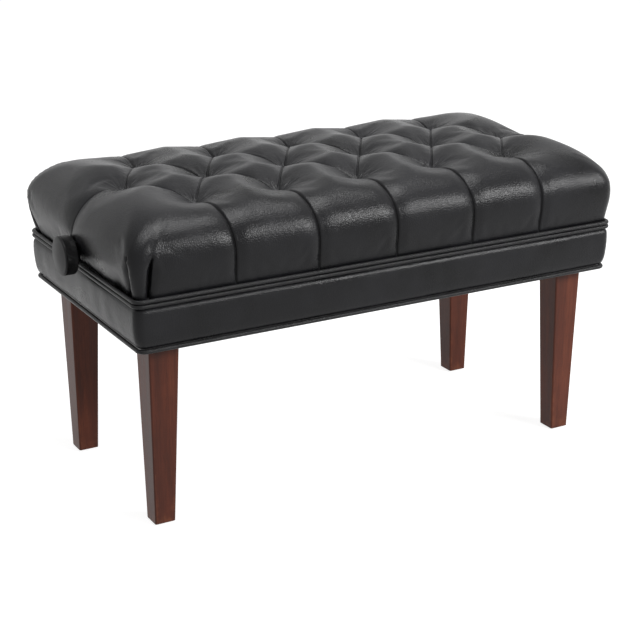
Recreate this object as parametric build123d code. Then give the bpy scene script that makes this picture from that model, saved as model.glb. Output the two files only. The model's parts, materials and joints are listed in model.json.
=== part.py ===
from build123d import *
import math
import os

# A padded bench for a piano player. Four tapered wooden legs and a padded apron carry a tufted
# seat, which two knobs raise and lower through a lift screw and a scissor mechanism.
# Millimetres. X runs left to right, Y front to back, Z up, and the origin is on the floor
# under the middle of the bench. The seat is drawn at its lowest height.

# ---------------------------------------------------------------- overall sizes
bench_length = 782.0            # over the piping, left to right
bench_depth = 400.0             # over the piping, front to back
seam_height = 340.0             # floor to the joint between apron and seat
crown_height = 465.0            # floor to the highest point of the cushion
apron_height = 70.0             # from the lower piping to the joint
seat_travel = 89.0              # how far the screw lifts the seat
seat_gap = 0.3                  # between the resting seat and the apron

# ---------------------------------------------------------------- leather, foam and piping
leather_thickness = 1.5
leather_flap = 13.0             # leather folded in under an edge
piping_diameter = 7.0
piping_stand = 2.0              # piping beyond the face of the apron
apron_padding = 11.5            # foam and leather outside the long apron boards
apron_end_padding = 15.0        # the same outside the end boards
apron_tuck = 4.5                # the padding draws in above the lower piping
apron_tuck_height = 13.0
apron_tuck_side = 2.2           # the same at the front and back
cushion_tuck = 6.0              # the cushion draws in above its piping
cushion_bulge_inset = 0.5       # widest line inside the piping, front and back
cushion_end_bulge = 6.0         # and past it at the ends
cushion_widest_rise = 12.0      # widest line above the seat board
cushion_base_corner = 15.0      # plan radius of the cushion's corners at the piping
cushion_corner = 28.0           # and from the widest line up
cushion_edge_width = 90.0       # plan width of the round that leads up to the crown
cushion_edge_steps = 4
pleat_share = 0.15              # depth of the pleats, as a share of the pad's height
pleat_width = 30.0              # from the middle of a pleat to the flat beside it
tuft_share = 0.22               # tufts below their pleats, as a share of the pad's height
tuft_width = 34.0               # radius of the hollow round a tuft
pleat_cutter_rise = 0.5         # cutters start this far above the crown
tuft_cutter_rise = 1.0
tufts_in_outer_row = 5
tufts_in_middle_row = 6
tuft_end_margin = 72.0          # end tufts to the piping
tuft_side_margin = 99.5         # front and back rows to the piping
tie_diameter = 2.5
tie_disc_diameter = 12.0
tie_disc_thickness = 1.5

# ---------------------------------------------------------------- wood
long_board_thickness = 19.0     # front and back apron boards
end_board_thickness = 14.0
board_corner_radius = 2.5
seat_end_rail_thickness = 24.0
seat_frame_corner = 14.0
seat_board_thickness = 12.0
leg_width = 45.0
leg_chamfer = 8.0               # inner corner, where the brace bears on the leg
leg_edge_radius = 2.5
leg_top_drop = 6.0              # leg top below the joint
foot_width = 30.6
foot_shift_x = 3.9              # the foot stands outside the middle of the leg's head
foot_shift_y = -0.6
brace_thickness = 16.0
brace_edge_gap = 5.5            # brace above the boards' lower edge

# ---------------------------------------------------------------- steel
rail_size = 30.0                # legs of the angle rails
rail_thickness = 3.0
rail_edge_gap = 6.5             # base rails above the boards' lower edge
rail_end_gap = 2.5              # rails short of the braces
pivot_end_margin = 15.0         # pivots in from the rails' ends
base_pivot_rise = 18.0          # base pivot above the base rail's lower face
screw_above_seam = 19.0         # lift screw and upper pivots above the joint
arm_width = 22.0
arm_thickness = 4.0
arm_gap = 1.0                   # between rails and arms, and between the two arms
pivot_diameter = 10.0
pivot_shoulder_diameter = 16.0
pin_head_thickness = 2.0
ring_diameter = 16.0
ring_thickness = 1.0
ring_groove_depth = 0.4
ring_overhang = 2.0             # shaft beyond its retaining ring
side_play = 0.2                 # between a ring and what it keeps in place
linkage_play = 0.7              # slack of the pivots that are left open
nut_slot_play = 2.5             # slack along the arm where it meets the nut bar
roller_width = 5.0
screw_diameter = 12.0
screw_lead = 3.0                # nut travel for one turn of the knobs
nut_length = 30.0
nut_width = 32.0
nut_height = 27.0
nut_edge_chamfer = 1.0
collar_diameter = 24.0
collar_length = 10.0
bearing_diameter = 18.0
bearing_flange_diameter = 28.0
bearing_flange_thickness = 3.0
leather_hole_clearance = 1.0    # around the screw where it passes the leather

# ---------------------------------------------------------------- knobs, glides and fasteners
knob_diameter = 56.0
knob_head_length = 21.5
knob_hub_diameter = 30.0
knob_hub_length = 6.5
knob_stand = 1.0                # hub beyond the piping
knob_bevel = 1.5
knob_dome = 2.2
knob_wall = 9.5                 # knob left in front of the screw's end
set_screw_diameter = 5.0
glide_diameter = 22.0
glide_height = 2.0
glide_pin_diameter = 3.5
glide_pin_length = 14.0
wood_screw_diameter = 4.0
driver_clearance = 8.8          # room beside a screw for its driver, and screws in from a rail's edge
rail_screw_length = 17.0
rail_screw_spread = 0.72        # outer rail screws, as a share of the way to the pivots
apron_screw_grip = 28.0         # screws' reach past the first board
apron_screw_edge_gap = 16.0
seat_screw_grip = 26.0
seat_board_screw_grip = 18.0
brace_screw_grip = 12.0
brace_screw_share = 0.35        # across the brace's end, and how deep its head is sunk
brace_screw_sink = 0.45
leg_bolt_top_gap = 14.0         # upper bolts below the leg's top
leg_bolt_low_gap = 22.0         # lower bolts above the apron's lower edge
apron_screw_inset = 3.5         # apron screws outside the end boards' inner faces
leg_bolt_diameter = 8.0
leg_bolt_in_leg = 32.0
leg_bolt_beyond = 12.0
leg_nut_width = 13.0
leg_nut_height = 6.5
leg_washer_diameter = 20.0
leg_washer_thickness = 1.6
fit = 0.05                      # radial clearance of pins, shafts and screws

# ---------------------------------------------------------------- heights worked out from these
half_length = bench_length / 2
half_depth = bench_depth / 2
apron_bottom = seam_height - apron_height
board_bottom = apron_bottom + leather_thickness
board_top = seam_height - leather_thickness
leg_top = seam_height - leg_top_drop
seat_bottom = seam_height + seat_gap
frame_bottom = seat_bottom + leather_thickness
screw_height = seam_height + screw_above_seam
rail_bottom = board_bottom + rail_edge_gap
rail_floor = rail_bottom + rail_thickness
base_pivot_height = rail_bottom + base_pivot_rise
arm_top_clearance = 1.0
seat_board_bottom = screw_height + arm_width / 2 + arm_top_clearance + rail_thickness
seat_board_top = seat_board_bottom + seat_board_thickness

# ---------------------------------------------------------------- plan sizes worked out
face_x = half_length - piping_stand
face_y = half_depth - piping_stand
board_x = face_x - apron_end_padding
board_y = face_y - apron_padding
apron_corner = board_corner_radius + apron_padding
inner_x = board_x - end_board_thickness          # inner faces of the boards, and the legs' outer faces
inner_y = board_y - long_board_thickness
seat_rail_thickness = board_y - inner_y          # long seat rails line up with the long boards
brace_start = 2 * leg_width - leg_chamfer        # measured along a board from the corner
brace_end = brace_start + brace_thickness * math.sqrt(2)
rail_end = inner_x - brace_end - rail_end_gap
pivot_x = rail_end - pivot_end_margin
piping_radius = piping_diameter / 2
piping_x = half_length - piping_radius           # middle line of the upper pipings
piping_y = half_depth - piping_radius
piping_corner = apron_corner - piping_radius
behind_x = piping_x - piping_radius - fit        # upholstery behind the upper pipings
behind_y = piping_y - piping_radius - fit
behind_corner = piping_corner - piping_radius - fit
bulge_x = half_length + cushion_end_bulge
bulge_y = half_depth - cushion_bulge_inset
widest_height = seat_board_top + cushion_widest_rise
pad_height = crown_height - seat_board_top
pleat_depth = pleat_share * pad_height
tuft_depth = tuft_share * pad_height
tuft_pitch = 2 * (half_length - tuft_end_margin) / (tufts_in_middle_row - 1)
tuft_row_y = half_depth - tuft_side_margin

# ---------------------------------------------------------------- scissor geometry
pivot_rise = screw_height - base_pivot_height
arm_length = math.hypot(2 * pivot_x, pivot_rise)
rest_angle = math.degrees(math.asin(pivot_rise / arm_length))
nut_travel = 2 * pivot_x - math.sqrt(arm_length ** 2 - (pivot_rise + seat_travel) ** 2)
rail_face_y = inner_y - rail_thickness           # inner face of every angle rail
outer_arm_y = rail_face_y - arm_gap - arm_thickness / 2
inner_arm_y = outer_arm_y - arm_gap - arm_thickness


# ================================================================ helpers
def block(x_low, x_high, y_low, y_high, z_low, z_high):
    """A plain box between six faces."""
    middle = ((x_low + x_high) / 2, (y_low + y_high) / 2, (z_low + z_high) / 2)
    return Pos(*middle) * Box(x_high - x_low, y_high - y_low, z_high - z_low)


def rounded_block(half_x, half_y, radius, z_low, z_high):
    """A centred block with rounded upright corners."""
    outline = RectangleRounded(2 * half_x, 2 * half_y, radius)
    return Pos(0, 0, z_low) * extrude(outline, z_high - z_low)


def stacked_block(outlines):
    """A centred block through rounded outlines, each with half sizes, corner radius and height."""
    faces = [(Pos(0, 0, z) * RectangleRounded(2 * x, 2 * y, radius)).face() for x, y, radius, z in outlines]
    return loft(faces, ruled=True)


def rod_x(x_low, x_high, y, z, diameter):
    """A round rod along X."""
    return Pos((x_low + x_high) / 2, y, z) * Rot(0, 90, 0) * Cylinder(diameter / 2, x_high - x_low)


def rod_y(x, y_low, y_high, z, diameter):
    """A round rod along Y."""
    return Pos(x, (y_low + y_high) / 2, z) * Rot(90, 0, 0) * Cylinder(diameter / 2, y_high - y_low)


def rod_z(x, y, z_low, z_high, diameter):
    """A round rod along Z."""
    return Pos(x, y, (z_low + z_high) / 2) * Cylinder(diameter / 2, z_high - z_low)


def rod_from(start, direction, length, diameter):
    """A round rod that leaves a point in any direction."""
    place = Plane(origin=start, z_dir=direction).location
    return place * Pos(0, 0, length / 2) * Cylinder(diameter / 2, length)


def screw_from(head_point, direction, length, diameter, grow=0.0):
    """A countersunk screw: the flat of its head at a point, its shank along a direction."""
    head = Cone(diameter + grow, diameter / 2 + grow, diameter / 2)
    shank = Pos(0, 0, length / 2) * Cylinder(diameter / 2 + grow, length + grow)
    screw = shank + Pos(0, 0, diameter / 4) * head
    if grow == 0.0:
        drive = Box(diameter, diameter / 5, diameter / 4) + Box(diameter / 5, diameter, diameter / 4)
        screw -= Pos(0, 0, diameter / 8) * drive
    return Plane(origin=head_point, z_dir=direction).location * screw


def in_corner(shape, side_x, side_y):
    """A piece drawn in the corner of +X and +Y, put in the corner that the two signs name."""
    if side_x < 0:
        shape = mirror(shape, about=Plane.YZ)
    if side_y < 0:
        shape = mirror(shape, about=Plane.XZ)
    return shape


def on_side(shape, side_y):
    """A piece drawn on the +Y side, put on the side that the sign names."""
    return mirror(shape, about=Plane.XZ) if side_y < 0 else shape


def on_end(shape, side_x):
    """A piece drawn at the +X end, put at the end that the sign names."""
    return mirror(shape, about=Plane.YZ) if side_x < 0 else shape


def save(name, *solids):
    """Writes one sub-part, as one solid or as a group of separate ones."""
    shape = solids[0] if len(solids) == 1 else Compound(children=list(solids))
    export_step(shape, f"parts/{name}.step")


corners = [(-1, -1, "front_left"), (1, -1, "front_right"), (-1, 1, "back_left"), (1, 1, "back_right")]
sides = [(-1, "front"), (1, "back")]
ends = [(-1, "left"), (1, "right")]

# ================================================================ legs, braces and glides
# Head of a leg: a square block in the corner of the boards. Below the apron it tapers on
# all four sides.
leg_middle_x = inner_x - leg_width / 2
leg_middle_y = inner_y - leg_width / 2
foot_x = leg_middle_x + foot_shift_x
foot_y = leg_middle_y + foot_shift_y
diagonal = (1, 1, 0)
bolt_heights = [leg_top - leg_bolt_top_gap, apron_bottom + leg_bolt_low_gap]


def corner_point(along, z):
    """A point on the diagonal of the corner, at one distance from both boards."""
    return (inner_x - along, inner_y - along, z)


def brace_shape():
    """The wooden brace across the corner behind the leg."""
    outline = [(brace_start, 0), (brace_end, 0), (0, brace_end), (0, brace_start)]
    points = [(inner_x - along_x, inner_y - along_y) for along_x, along_y in outline]
    face = make_face(Polyline(*points, close=True))
    low = board_bottom + brace_edge_gap
    return Pos(0, 0, low) * extrude(face, leg_top - low)


def leg_shape():
    """One leg, with its chamfer for the brace and its bolt holes."""
    head = block(inner_x - leg_width, inner_x, inner_y - leg_width, inner_y, apron_bottom, leg_top)
    wide_outline = RectangleRounded(leg_width, leg_width, leg_edge_radius)
    foot_outline = RectangleRounded(foot_width, foot_width, leg_edge_radius)
    high = Pos(leg_middle_x, leg_middle_y, apron_bottom) * wide_outline
    low = Pos(foot_x, foot_y, glide_height) * foot_outline
    leg = head + loft([low.face(), high.face()], ruled=True)
    cut = leg_width - leg_chamfer
    outline = [(leg_width, cut), (cut, leg_width), (leg_width, leg_width)]
    points = [(inner_x - along_x, inner_y - along_y) for along_x, along_y in outline]
    corner = make_face(Polyline(*points, close=True))
    leg -= Pos(0, 0, board_bottom) * extrude(corner, leg_top - board_bottom)
    for z in bolt_heights:
        leg -= leg_bolt(z, fit)
    leg -= rod_z(foot_x, foot_y, 0, glide_height + glide_pin_length + fit, glide_pin_diameter + 2 * fit)
    return leg


def leg_bolt(z, grow=0.0):
    """A hanger bolt from inside the brace into the leg."""
    start = corner_point(brace_end / 2, z)
    depth = (brace_end - brace_start) / math.sqrt(2) + leg_bolt_in_leg
    beyond = leg_washer_thickness + leg_nut_height + leg_bolt_beyond / 2
    diameter = leg_bolt_diameter + 2 * grow
    inner = rod_from(start, (-1, -1, 0), beyond, diameter)
    return inner + rod_from(start, diagonal, depth + grow, diameter)


def leg_washer(z):
    """A washer on the brace under a leg nut."""
    start = corner_point(brace_end / 2, z)
    ring = rod_from(start, (-1, -1, 0), leg_washer_thickness, leg_washer_diameter)
    return ring - leg_bolt(z, fit)


def leg_nut(z):
    """A hexagon nut on its washer."""
    place = Plane(origin=corner_point(brace_end / 2, z), z_dir=(-1, -1, 0)).location
    hexagon = RegularPolygon(leg_nut_width / 2, 6, major_radius=False)
    nut = place * Pos(0, 0, leg_washer_thickness) * extrude(hexagon, leg_nut_height)
    return nut - leg_bolt(z, fit)


brace_screw_along = brace_start + (brace_end - brace_start) * brace_screw_share
brace_screw_head = (brace_end - brace_screw_along) * brace_screw_sink
brace_screw_length = brace_screw_head + brace_screw_grip


def brace_screws(grow=0.0):
    """Two screws at each end of a brace, square to the boards."""
    found = []
    for z in bolt_heights:
        in_long = (inner_x - brace_screw_along, inner_y - brace_screw_head, z)
        in_end = (inner_x - brace_screw_head, inner_y - brace_screw_along, z)
        found.append(screw_from(in_long, (0, 1, 0), brace_screw_length, wood_screw_diameter, grow))
        found.append(screw_from(in_end, (1, 0, 0), brace_screw_length, wood_screw_diameter, grow))
    return found


def brace_screw_pockets():
    """Room for the screwdriver in front of each brace screw."""
    found = []
    reach = brace_end - brace_screw_along
    for z in bolt_heights:
        in_long = (inner_x - brace_screw_along, inner_y - brace_screw_head, z)
        in_end = (inner_x - brace_screw_head, inner_y - brace_screw_along, z)
        found.append(rod_from(in_long, (0, -1, 0), reach, driver_clearance))
        found.append(rod_from(in_end, (-1, 0, 0), reach, driver_clearance))
    return found


def brace_with_holes():
    """The brace with its bolt holes, screw holes and pockets."""
    brace = brace_shape()
    for z in bolt_heights:
        brace -= leg_bolt(z, 4 * fit)
    for cutter in brace_screws(fit) + brace_screw_pockets():
        brace -= cutter
    return brace


def glide_shape():
    """A nail-in glide under a foot."""
    pin = rod_z(foot_x, foot_y, glide_height / 2, glide_height + glide_pin_length, glide_pin_diameter)
    disc = rod_z(foot_x, foot_y, 0, glide_height, glide_diameter)
    disc = chamfer(disc.edges().group_by(Axis.Z)[0], glide_height / 4)
    return disc + pin


one_leg = leg_shape()
for side_x, side_y, name in corners:
    save(f"leg_{name}", in_corner(one_leg, side_x, side_y))
one_brace = brace_with_holes()
one_glide = glide_shape()
save("corner_braces", *[in_corner(one_brace, x, y) for x, y, _ in corners])
save("foot_glides", *[in_corner(one_glide, x, y) for x, y, _ in corners])
save("leg_bolts", *[in_corner(leg_bolt(z), x, y) for x, y, _ in corners for z in bolt_heights])
save("leg_washers", *[in_corner(leg_washer(z), x, y) for x, y, _ in corners for z in bolt_heights])
save("leg_nuts", *[in_corner(leg_nut(z), x, y) for x, y, _ in corners for z in bolt_heights])
save("brace_screws", *[in_corner(screw, x, y) for x, y, _ in corners for screw in brace_screws()])

# ================================================================ apron boards
apron_screw_x = inner_x + apron_screw_inset
apron_screw_length = long_board_thickness + apron_screw_grip
apron_screw_heights = [board_bottom + apron_screw_edge_gap, board_top - apron_screw_edge_gap]


def apron_screw(z, grow=0.0):
    """A screw through a long board into the end of an end board."""
    return screw_from((apron_screw_x, board_y, z), (0, -1, 0), apron_screw_length, wood_screw_diameter, grow)


rail_screw_xs = [-pivot_x * rail_screw_spread, 0.0, pivot_x * rail_screw_spread]
base_rail_screw_z = rail_bottom + rail_size - driver_clearance
top_rail_bottom = seat_board_bottom - rail_size
top_rail_screw_z = top_rail_bottom + driver_clearance


def rail_screw(x, z, grow=0.0):
    """A screw through an angle rail into the wood behind it."""
    return screw_from((x, rail_face_y, z), (0, 1, 0), rail_screw_length, wood_screw_diameter, grow)


def long_board():
    """The back apron board."""
    board = block(-board_x, board_x, inner_y, board_y, board_bottom, board_top)
    board &= rounded_block(board_x, board_y, board_corner_radius, board_bottom, board_top)
    for side_x, _ in ends:
        for z in apron_screw_heights:
            board -= on_end(apron_screw(z, fit), side_x)
        for cutter in brace_screws(fit)[::2]:
            board -= on_end(cutter, side_x)
    for x in rail_screw_xs:
        board -= rail_screw(x, base_rail_screw_z, fit)
    return board


def end_board():
    """The right apron board, between the long ones."""
    board = block(inner_x, board_x, -inner_y, inner_y, board_bottom, board_top)
    for side_y, _ in sides:
        for z in apron_screw_heights:
            board -= on_side(apron_screw(z, fit), side_y)
        for cutter in brace_screws(fit)[1::2]:
            board -= on_side(cutter, side_y)
    return board


one_long_board = long_board()
one_end_board = end_board()
for side_y, name in sides:
    save(f"apron_{name}", on_side(one_long_board, side_y))
for side_x, name in ends:
    save(f"apron_{name}", on_end(one_end_board, side_x))
save("apron_screws", *[in_corner(apron_screw(z), x, y) for x, y, _ in corners for z in apron_screw_heights])


# ================================================================ apron padding, leather and piping
def piping_ring(place, diameter):
    """A closed tube of piping. The place is the half sizes, radius and height of its middle line."""
    half_x, half_y, radius, z = place
    path = (Pos(0, 0, z) * RectangleRounded(2 * half_x, 2 * half_y, radius).face()).outer_wire()
    return sweep(Plane(path @ 0, z_dir=path % 0) * Circle(diameter / 2), path=path)


def apron_block(inset):
    """The padded apron's form, drawn in by an inset: full between the pipings, and behind them."""
    corner = behind_corner - inset
    low_edge = apron_bottom + piping_diameter + fit + inset
    high_edge = seam_height - piping_diameter - fit - inset
    tuck_top = apron_bottom + apron_tuck_height
    form = rounded_block(behind_x - apron_tuck - inset, behind_y - apron_tuck_side - inset, corner,
                         apron_bottom + inset, tuck_top)
    form += rounded_block(behind_x - inset, behind_y - inset, corner, tuck_top, seam_height - inset)
    form += stacked_block([
        (face_x - apron_tuck - inset, face_y - apron_tuck_side - inset, apron_corner - inset, low_edge),
        (face_x - inset, face_y - inset, apron_corner - inset, tuck_top),
    ])
    return form + rounded_block(face_x - inset, face_y - inset, apron_corner - inset, tuck_top, high_edge)


upper_piping = (piping_x, piping_y, piping_corner, seam_height - piping_radius)
lower_piping = (piping_x - apron_tuck, piping_y - apron_tuck_side, piping_corner,
                apron_bottom + piping_radius)
board_outline = rounded_block(board_x, board_y, board_corner_radius, board_bottom, board_top)
flap_opening = rounded_block(board_x - leather_flap, board_y - leather_flap, board_corner_radius,
                             apron_bottom - 1, seam_height + 1)
apron_inside = apron_block(leather_thickness)
apron_cover = apron_block(0) - apron_inside - flap_opening
apron_foam = apron_inside - board_outline
save("apron_cover", apron_cover)
save("apron_foam", apron_foam)
save("apron_piping_upper", piping_ring(upper_piping, piping_diameter))
save("apron_piping_lower", piping_ring(lower_piping, piping_diameter))

# ================================================================ seat frame and seat board
seat_screw_length = seat_rail_thickness + seat_screw_grip
seat_screw_z = (frame_bottom + seat_board_bottom) / 2
board_screw_length = seat_board_thickness + seat_board_screw_grip
board_screw_xs = [-pivot_x, 0.0, pivot_x]
board_screw_y = board_y - seat_rail_thickness / 2


def seat_corner_screw(grow=0.0):
    """A screw through a long seat rail into the end of an end rail."""
    start = (board_x - seat_end_rail_thickness + 1.5 * wood_screw_diameter, board_y, seat_screw_z)
    return screw_from(start, (0, -1, 0), seat_screw_length, wood_screw_diameter, grow)


def board_screw(x, grow=0.0):
    """A screw through the seat board into a long rail."""
    start = (x, board_screw_y, seat_board_top)
    return screw_from(start, (0, 0, -1), board_screw_length, wood_screw_diameter, grow)


def seat_long_rail():
    """The back rail of the seat frame."""
    rail = block(-board_x, board_x, board_y - seat_rail_thickness, board_y, frame_bottom, seat_board_bottom)
    rail &= rounded_block(board_x, board_y, seat_frame_corner, frame_bottom, seat_board_bottom)
    for side_x, _ in ends:
        rail -= on_end(seat_corner_screw(fit), side_x)
    for x in rail_screw_xs:
        rail -= rail_screw(x, top_rail_screw_z, fit)
    for x in board_screw_xs:
        rail -= board_screw(x, fit)
    return rail


def seat_end_rail():
    """The right rail of the seat frame, bored for the screw's bearing."""
    inner = board_y - seat_rail_thickness
    rail = block(board_x - seat_end_rail_thickness, board_x, -inner, inner, frame_bottom, seat_board_bottom)
    rail -= rod_x(0, half_length, 0, screw_height, bearing_diameter + 2 * fit)
    for side_y, _ in sides:
        rail -= on_side(seat_corner_screw(fit), side_y)
    return rail


one_seat_rail = seat_long_rail()
one_seat_end = seat_end_rail()
for side_y, name in sides:
    save(f"seat_rail_{name}", on_side(one_seat_rail, side_y))
for side_x, name in ends:
    save(f"seat_rail_{name}", on_end(one_seat_end, side_x))
save("seat_corner_screws", *[in_corner(seat_corner_screw(), x, y) for x, y, _ in corners])

# ================================================================ cushion
# The tufts lie in three rows of a diamond pattern, and pleats join each tuft to its
# neighbours. From the outer rows straight pleats run over the front and the back, and from
# the end tufts over the ends.
tufts = []
for row, count in ((-1, tufts_in_outer_row), (0, tufts_in_middle_row), (1, tufts_in_outer_row)):
    for place in range(count):
        tufts.append(((place - (count - 1) / 2) * tuft_pitch, row * tuft_row_y))


def pleat_lines():
    """Each pleat as a pair of end points in plan."""
    lines = []
    for x, row_y in tufts:
        if row_y != 0:
            lines.append(((x, row_y), (x, math.copysign(half_depth + pleat_width, row_y))))
            continue
        for lean in (-1, 1):
            stops = [(x + side * lean * tuft_pitch / 2, side * tuft_row_y) for side in (-1, 1)]
            outside = tuft_pitch * tufts_in_outer_row / 2
            lines.append(tuple(stop if abs(stop[0]) < outside else (x, row_y) for stop in stops))
    reach = half_length + pleat_width
    end_tuft = half_length - tuft_end_margin
    return lines + [((side * end_tuft, 0), (side * reach, 0)) for side in (-1, 1)]


def pleat_cutter(line, top):
    """A long wedge that presses one pleat into the cushion."""
    (start_x, start_y), (end_x, end_y) = line
    length = math.hypot(end_x - start_x, end_y - start_y)
    high = top + pleat_cutter_rise
    wedge = Polyline((-pleat_width, high), (pleat_width, high), (0, top - pleat_depth), close=True)
    side_view = Plane(origin=(start_x, start_y, 0), x_dir=(start_y - end_y, end_x - start_x, 0),
                      z_dir=(end_x - start_x, end_y - start_y, 0))
    return extrude(side_view * make_face(wedge), length)


def tuft_cutter(x, y, top):
    """A cone that presses one tuft into the cushion."""
    height = pleat_depth + tuft_depth + tuft_cutter_rise
    middle = top + tuft_cutter_rise - height / 2
    return Pos(x, y, middle) * Cone(tie_disc_diameter / 4, tuft_width, height)


def round_outline(angle, inset):
    """The cushion's outline at an angle up the elliptical round between widest line and crown."""
    in_by = cushion_edge_width - (cushion_edge_width - inset) * math.cos(angle)
    rise = (crown_height - widest_height - inset) * math.sin(angle)
    return bulge_x - in_by, bulge_y - in_by, cushion_corner - inset, widest_height + rise


def cushion_block(inset):
    """The cushion's form below and above the top of the seat board, drawn in by an inset."""
    low_edge = seat_bottom + piping_diameter + fit + inset
    base = (half_length - cushion_tuck - inset, half_depth - cushion_tuck - inset,
            cushion_base_corner - inset, low_edge)
    widest = round_outline(0, inset)
    share = (seat_board_top - low_edge) / (widest_height - low_edge)
    board_level = tuple(low + (high - low) * share for low, high in zip(base, widest))
    lower = rounded_block(behind_x - inset, behind_y - inset, behind_corner - inset,
                          seat_bottom + inset, seat_board_top)
    lower += stacked_block([base, board_level])
    angles = [math.pi / 2 * step / cushion_edge_steps for step in range(cushion_edge_steps + 1)]
    upper = stacked_block([board_level] + [round_outline(angle, inset) for angle in angles])
    top = crown_height - inset
    cutters = [pleat_cutter(line, top) for line in pleat_lines()]
    cutters += [tuft_cutter(x, y, top) for x, y in tufts]
    return lower, upper.cut(*cutters)


def tuft_tie(x, y, grow=0.0):
    """The twine that holds a tuft down, with a disc at each end."""
    disc = tie_disc_diameter + 2 * grow
    top = crown_height - pleat_depth - tuft_depth - 2 * leather_thickness
    tie = rod_z(x, y, seat_board_bottom - tie_disc_thickness, top, tie_diameter + 2 * grow)
    tie += rod_z(x, y, seat_board_bottom - tie_disc_thickness, seat_board_bottom, disc)
    return tie + rod_z(x, y, top - tie_disc_thickness - grow, top + grow, disc)


screw_hole = rod_x(-half_length, half_length, 0, screw_height, screw_diameter + 2 * leather_hole_clearance)
frame_outline = rounded_block(board_x, board_y, seat_frame_corner, frame_bottom, seat_board_top)
under_opening = rounded_block(board_x - leather_flap, board_y - leather_flap, seat_frame_corner,
                              seat_bottom - 1, frame_bottom)
seat_piping = (piping_x, piping_y, piping_corner, seat_bottom + piping_radius)
cover_lower, cover_upper = cushion_block(0)
inside_lower, inside_upper = cushion_block(leather_thickness)
seat_cover = cover_lower + cover_upper - inside_lower - inside_upper - under_opening - screw_hole
seat_wadding = inside_lower - frame_outline - screw_hole
seat_foam = inside_upper
seat_board = rounded_block(board_x, board_y, seat_frame_corner, seat_board_bottom, seat_board_top)
for x, y in tufts:
    seat_foam -= tuft_tie(x, y, fit)
    seat_board -= rod_z(x, y, seat_board_bottom, seat_board_top, tie_diameter + 2 * fit)
for side_y, _ in sides:
    for x in board_screw_xs:
        seat_board -= on_side(board_screw(x, fit), side_y)
save("seat_cover", seat_cover)
save("seat_wadding", seat_wadding)
save("seat_foam", seat_foam)
save("seat_board", seat_board)
save("seat_piping", piping_ring(seat_piping, piping_diameter))
save("tuft_ties", *[tuft_tie(x, y) for x, y in tufts])
save("seat_board_screws", *[on_side(board_screw(x), side_y) for side_y, _ in sides for x in board_screw_xs])


# ================================================================ angle rails and their pivots
def base_rail():
    """The back base rail: an angle on the inside of the apron board."""
    rail = block(-rail_end, rail_end, rail_face_y, inner_y, rail_bottom, rail_bottom + rail_size)
    rail += block(-rail_end, rail_end, inner_y - rail_size, inner_y, rail_bottom, rail_floor)
    rail -= rod_y(-pivot_x, 0, half_depth, base_pivot_height, pivot_diameter + 2 * fit)
    for x in rail_screw_xs:
        rail -= rail_screw(x, base_rail_screw_z, fit)
    return rail


def nut_slot():
    """The slot in a top rail that guides the end of the nut bar."""
    right = rod_y(pivot_x, 0, half_depth, screw_height, pivot_diameter + 4 * fit)
    left = Pos(-nut_travel, 0, 0) * right
    low = screw_height - pivot_diameter / 2 - 2 * fit
    high = screw_height + pivot_diameter / 2 + 2 * fit
    return right + left + block(pivot_x - nut_travel, pivot_x, 0, half_depth, low, high)


def top_rail():
    """The back top rail: an angle under the seat board."""
    rail = block(-rail_end, rail_end, rail_face_y, inner_y, top_rail_bottom, seat_board_bottom)
    rail += block(-rail_end, rail_end, inner_y - rail_size, inner_y,
                  seat_board_bottom - rail_thickness, seat_board_bottom)
    rail -= rod_y(-pivot_x, 0, half_depth, screw_height, pivot_diameter + 2 * fit)
    rail -= nut_slot()
    for x in rail_screw_xs:
        rail -= rail_screw(x, top_rail_screw_z, fit)
    return rail


def ring_at(x, face_y, z, shaft_diameter):
    """A retaining ring on the inner side of what it keeps, and the cutter of its groove."""
    low = face_y - side_play - ring_thickness
    groove = shaft_diameter - 2 * ring_groove_depth
    outer = ring_diameter + shaft_diameter - pivot_diameter
    ring = rod_y(x, low, low + ring_thickness, z, outer)
    ring -= rod_y(x, low, low + ring_thickness, z, groove + 2 * fit)
    cutter = rod_y(x, low, low + ring_thickness, z, outer) - rod_y(x, low, low + ring_thickness, z, groove)
    return ring, cutter


outer_arm_face = outer_arm_y - arm_thickness / 2
inner_arm_face = inner_arm_y - arm_thickness / 2
shaft_past_ring = side_play + ring_thickness + ring_overhang
base_ring, base_groove = ring_at(-pivot_x, outer_arm_face, base_pivot_height, pivot_diameter)
stud_ring, stud_groove = ring_at(-pivot_x, inner_arm_face, screw_height, pivot_diameter)
centre_height = (base_pivot_height + screw_height) / 2
centre_ring, centre_groove = ring_at(0, inner_arm_face, centre_height, pivot_diameter)
roller_ring, roller_groove = ring_at(pivot_x, inner_arm_face, base_pivot_height, pivot_diameter)
nut_ring, nut_groove = ring_at(pivot_x, outer_arm_face, screw_height, screw_diameter)

base_shaft = rod_y(-pivot_x, -inner_y, inner_y, base_pivot_height, pivot_diameter)
base_shaft -= base_groove + on_side(base_groove, -1)
stud = rod_y(-pivot_x, inner_arm_face - shaft_past_ring, inner_y, screw_height, pivot_diameter)
shoulder_inner = inner_arm_y + arm_thickness / 2 + side_play / 2
stud += rod_y(-pivot_x, shoulder_inner, rail_face_y, screw_height, pivot_shoulder_diameter)
stud -= stud_groove
one_base_rail = base_rail()
one_top_rail = top_rail()
for side_y, name in sides:
    save(f"base_rail_{name}", on_side(one_base_rail, side_y))
    save(f"top_rail_{name}", on_side(one_top_rail, side_y))
for name, height in (("base_rail_screws", base_rail_screw_z), ("top_rail_screws", top_rail_screw_z)):
    save(name, *[on_side(rail_screw(x, height), y) for y, _ in sides for x in rail_screw_xs])
save("base_pivot_shaft", base_shaft)
save("base_pivot_rings", *[on_side(base_ring, y) for y, _ in sides])
save("top_pivot_studs", *[on_side(stud, y) for y, _ in sides])
save("top_pivot_rings", *[on_side(stud_ring, y) for y, _ in sides])


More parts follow.
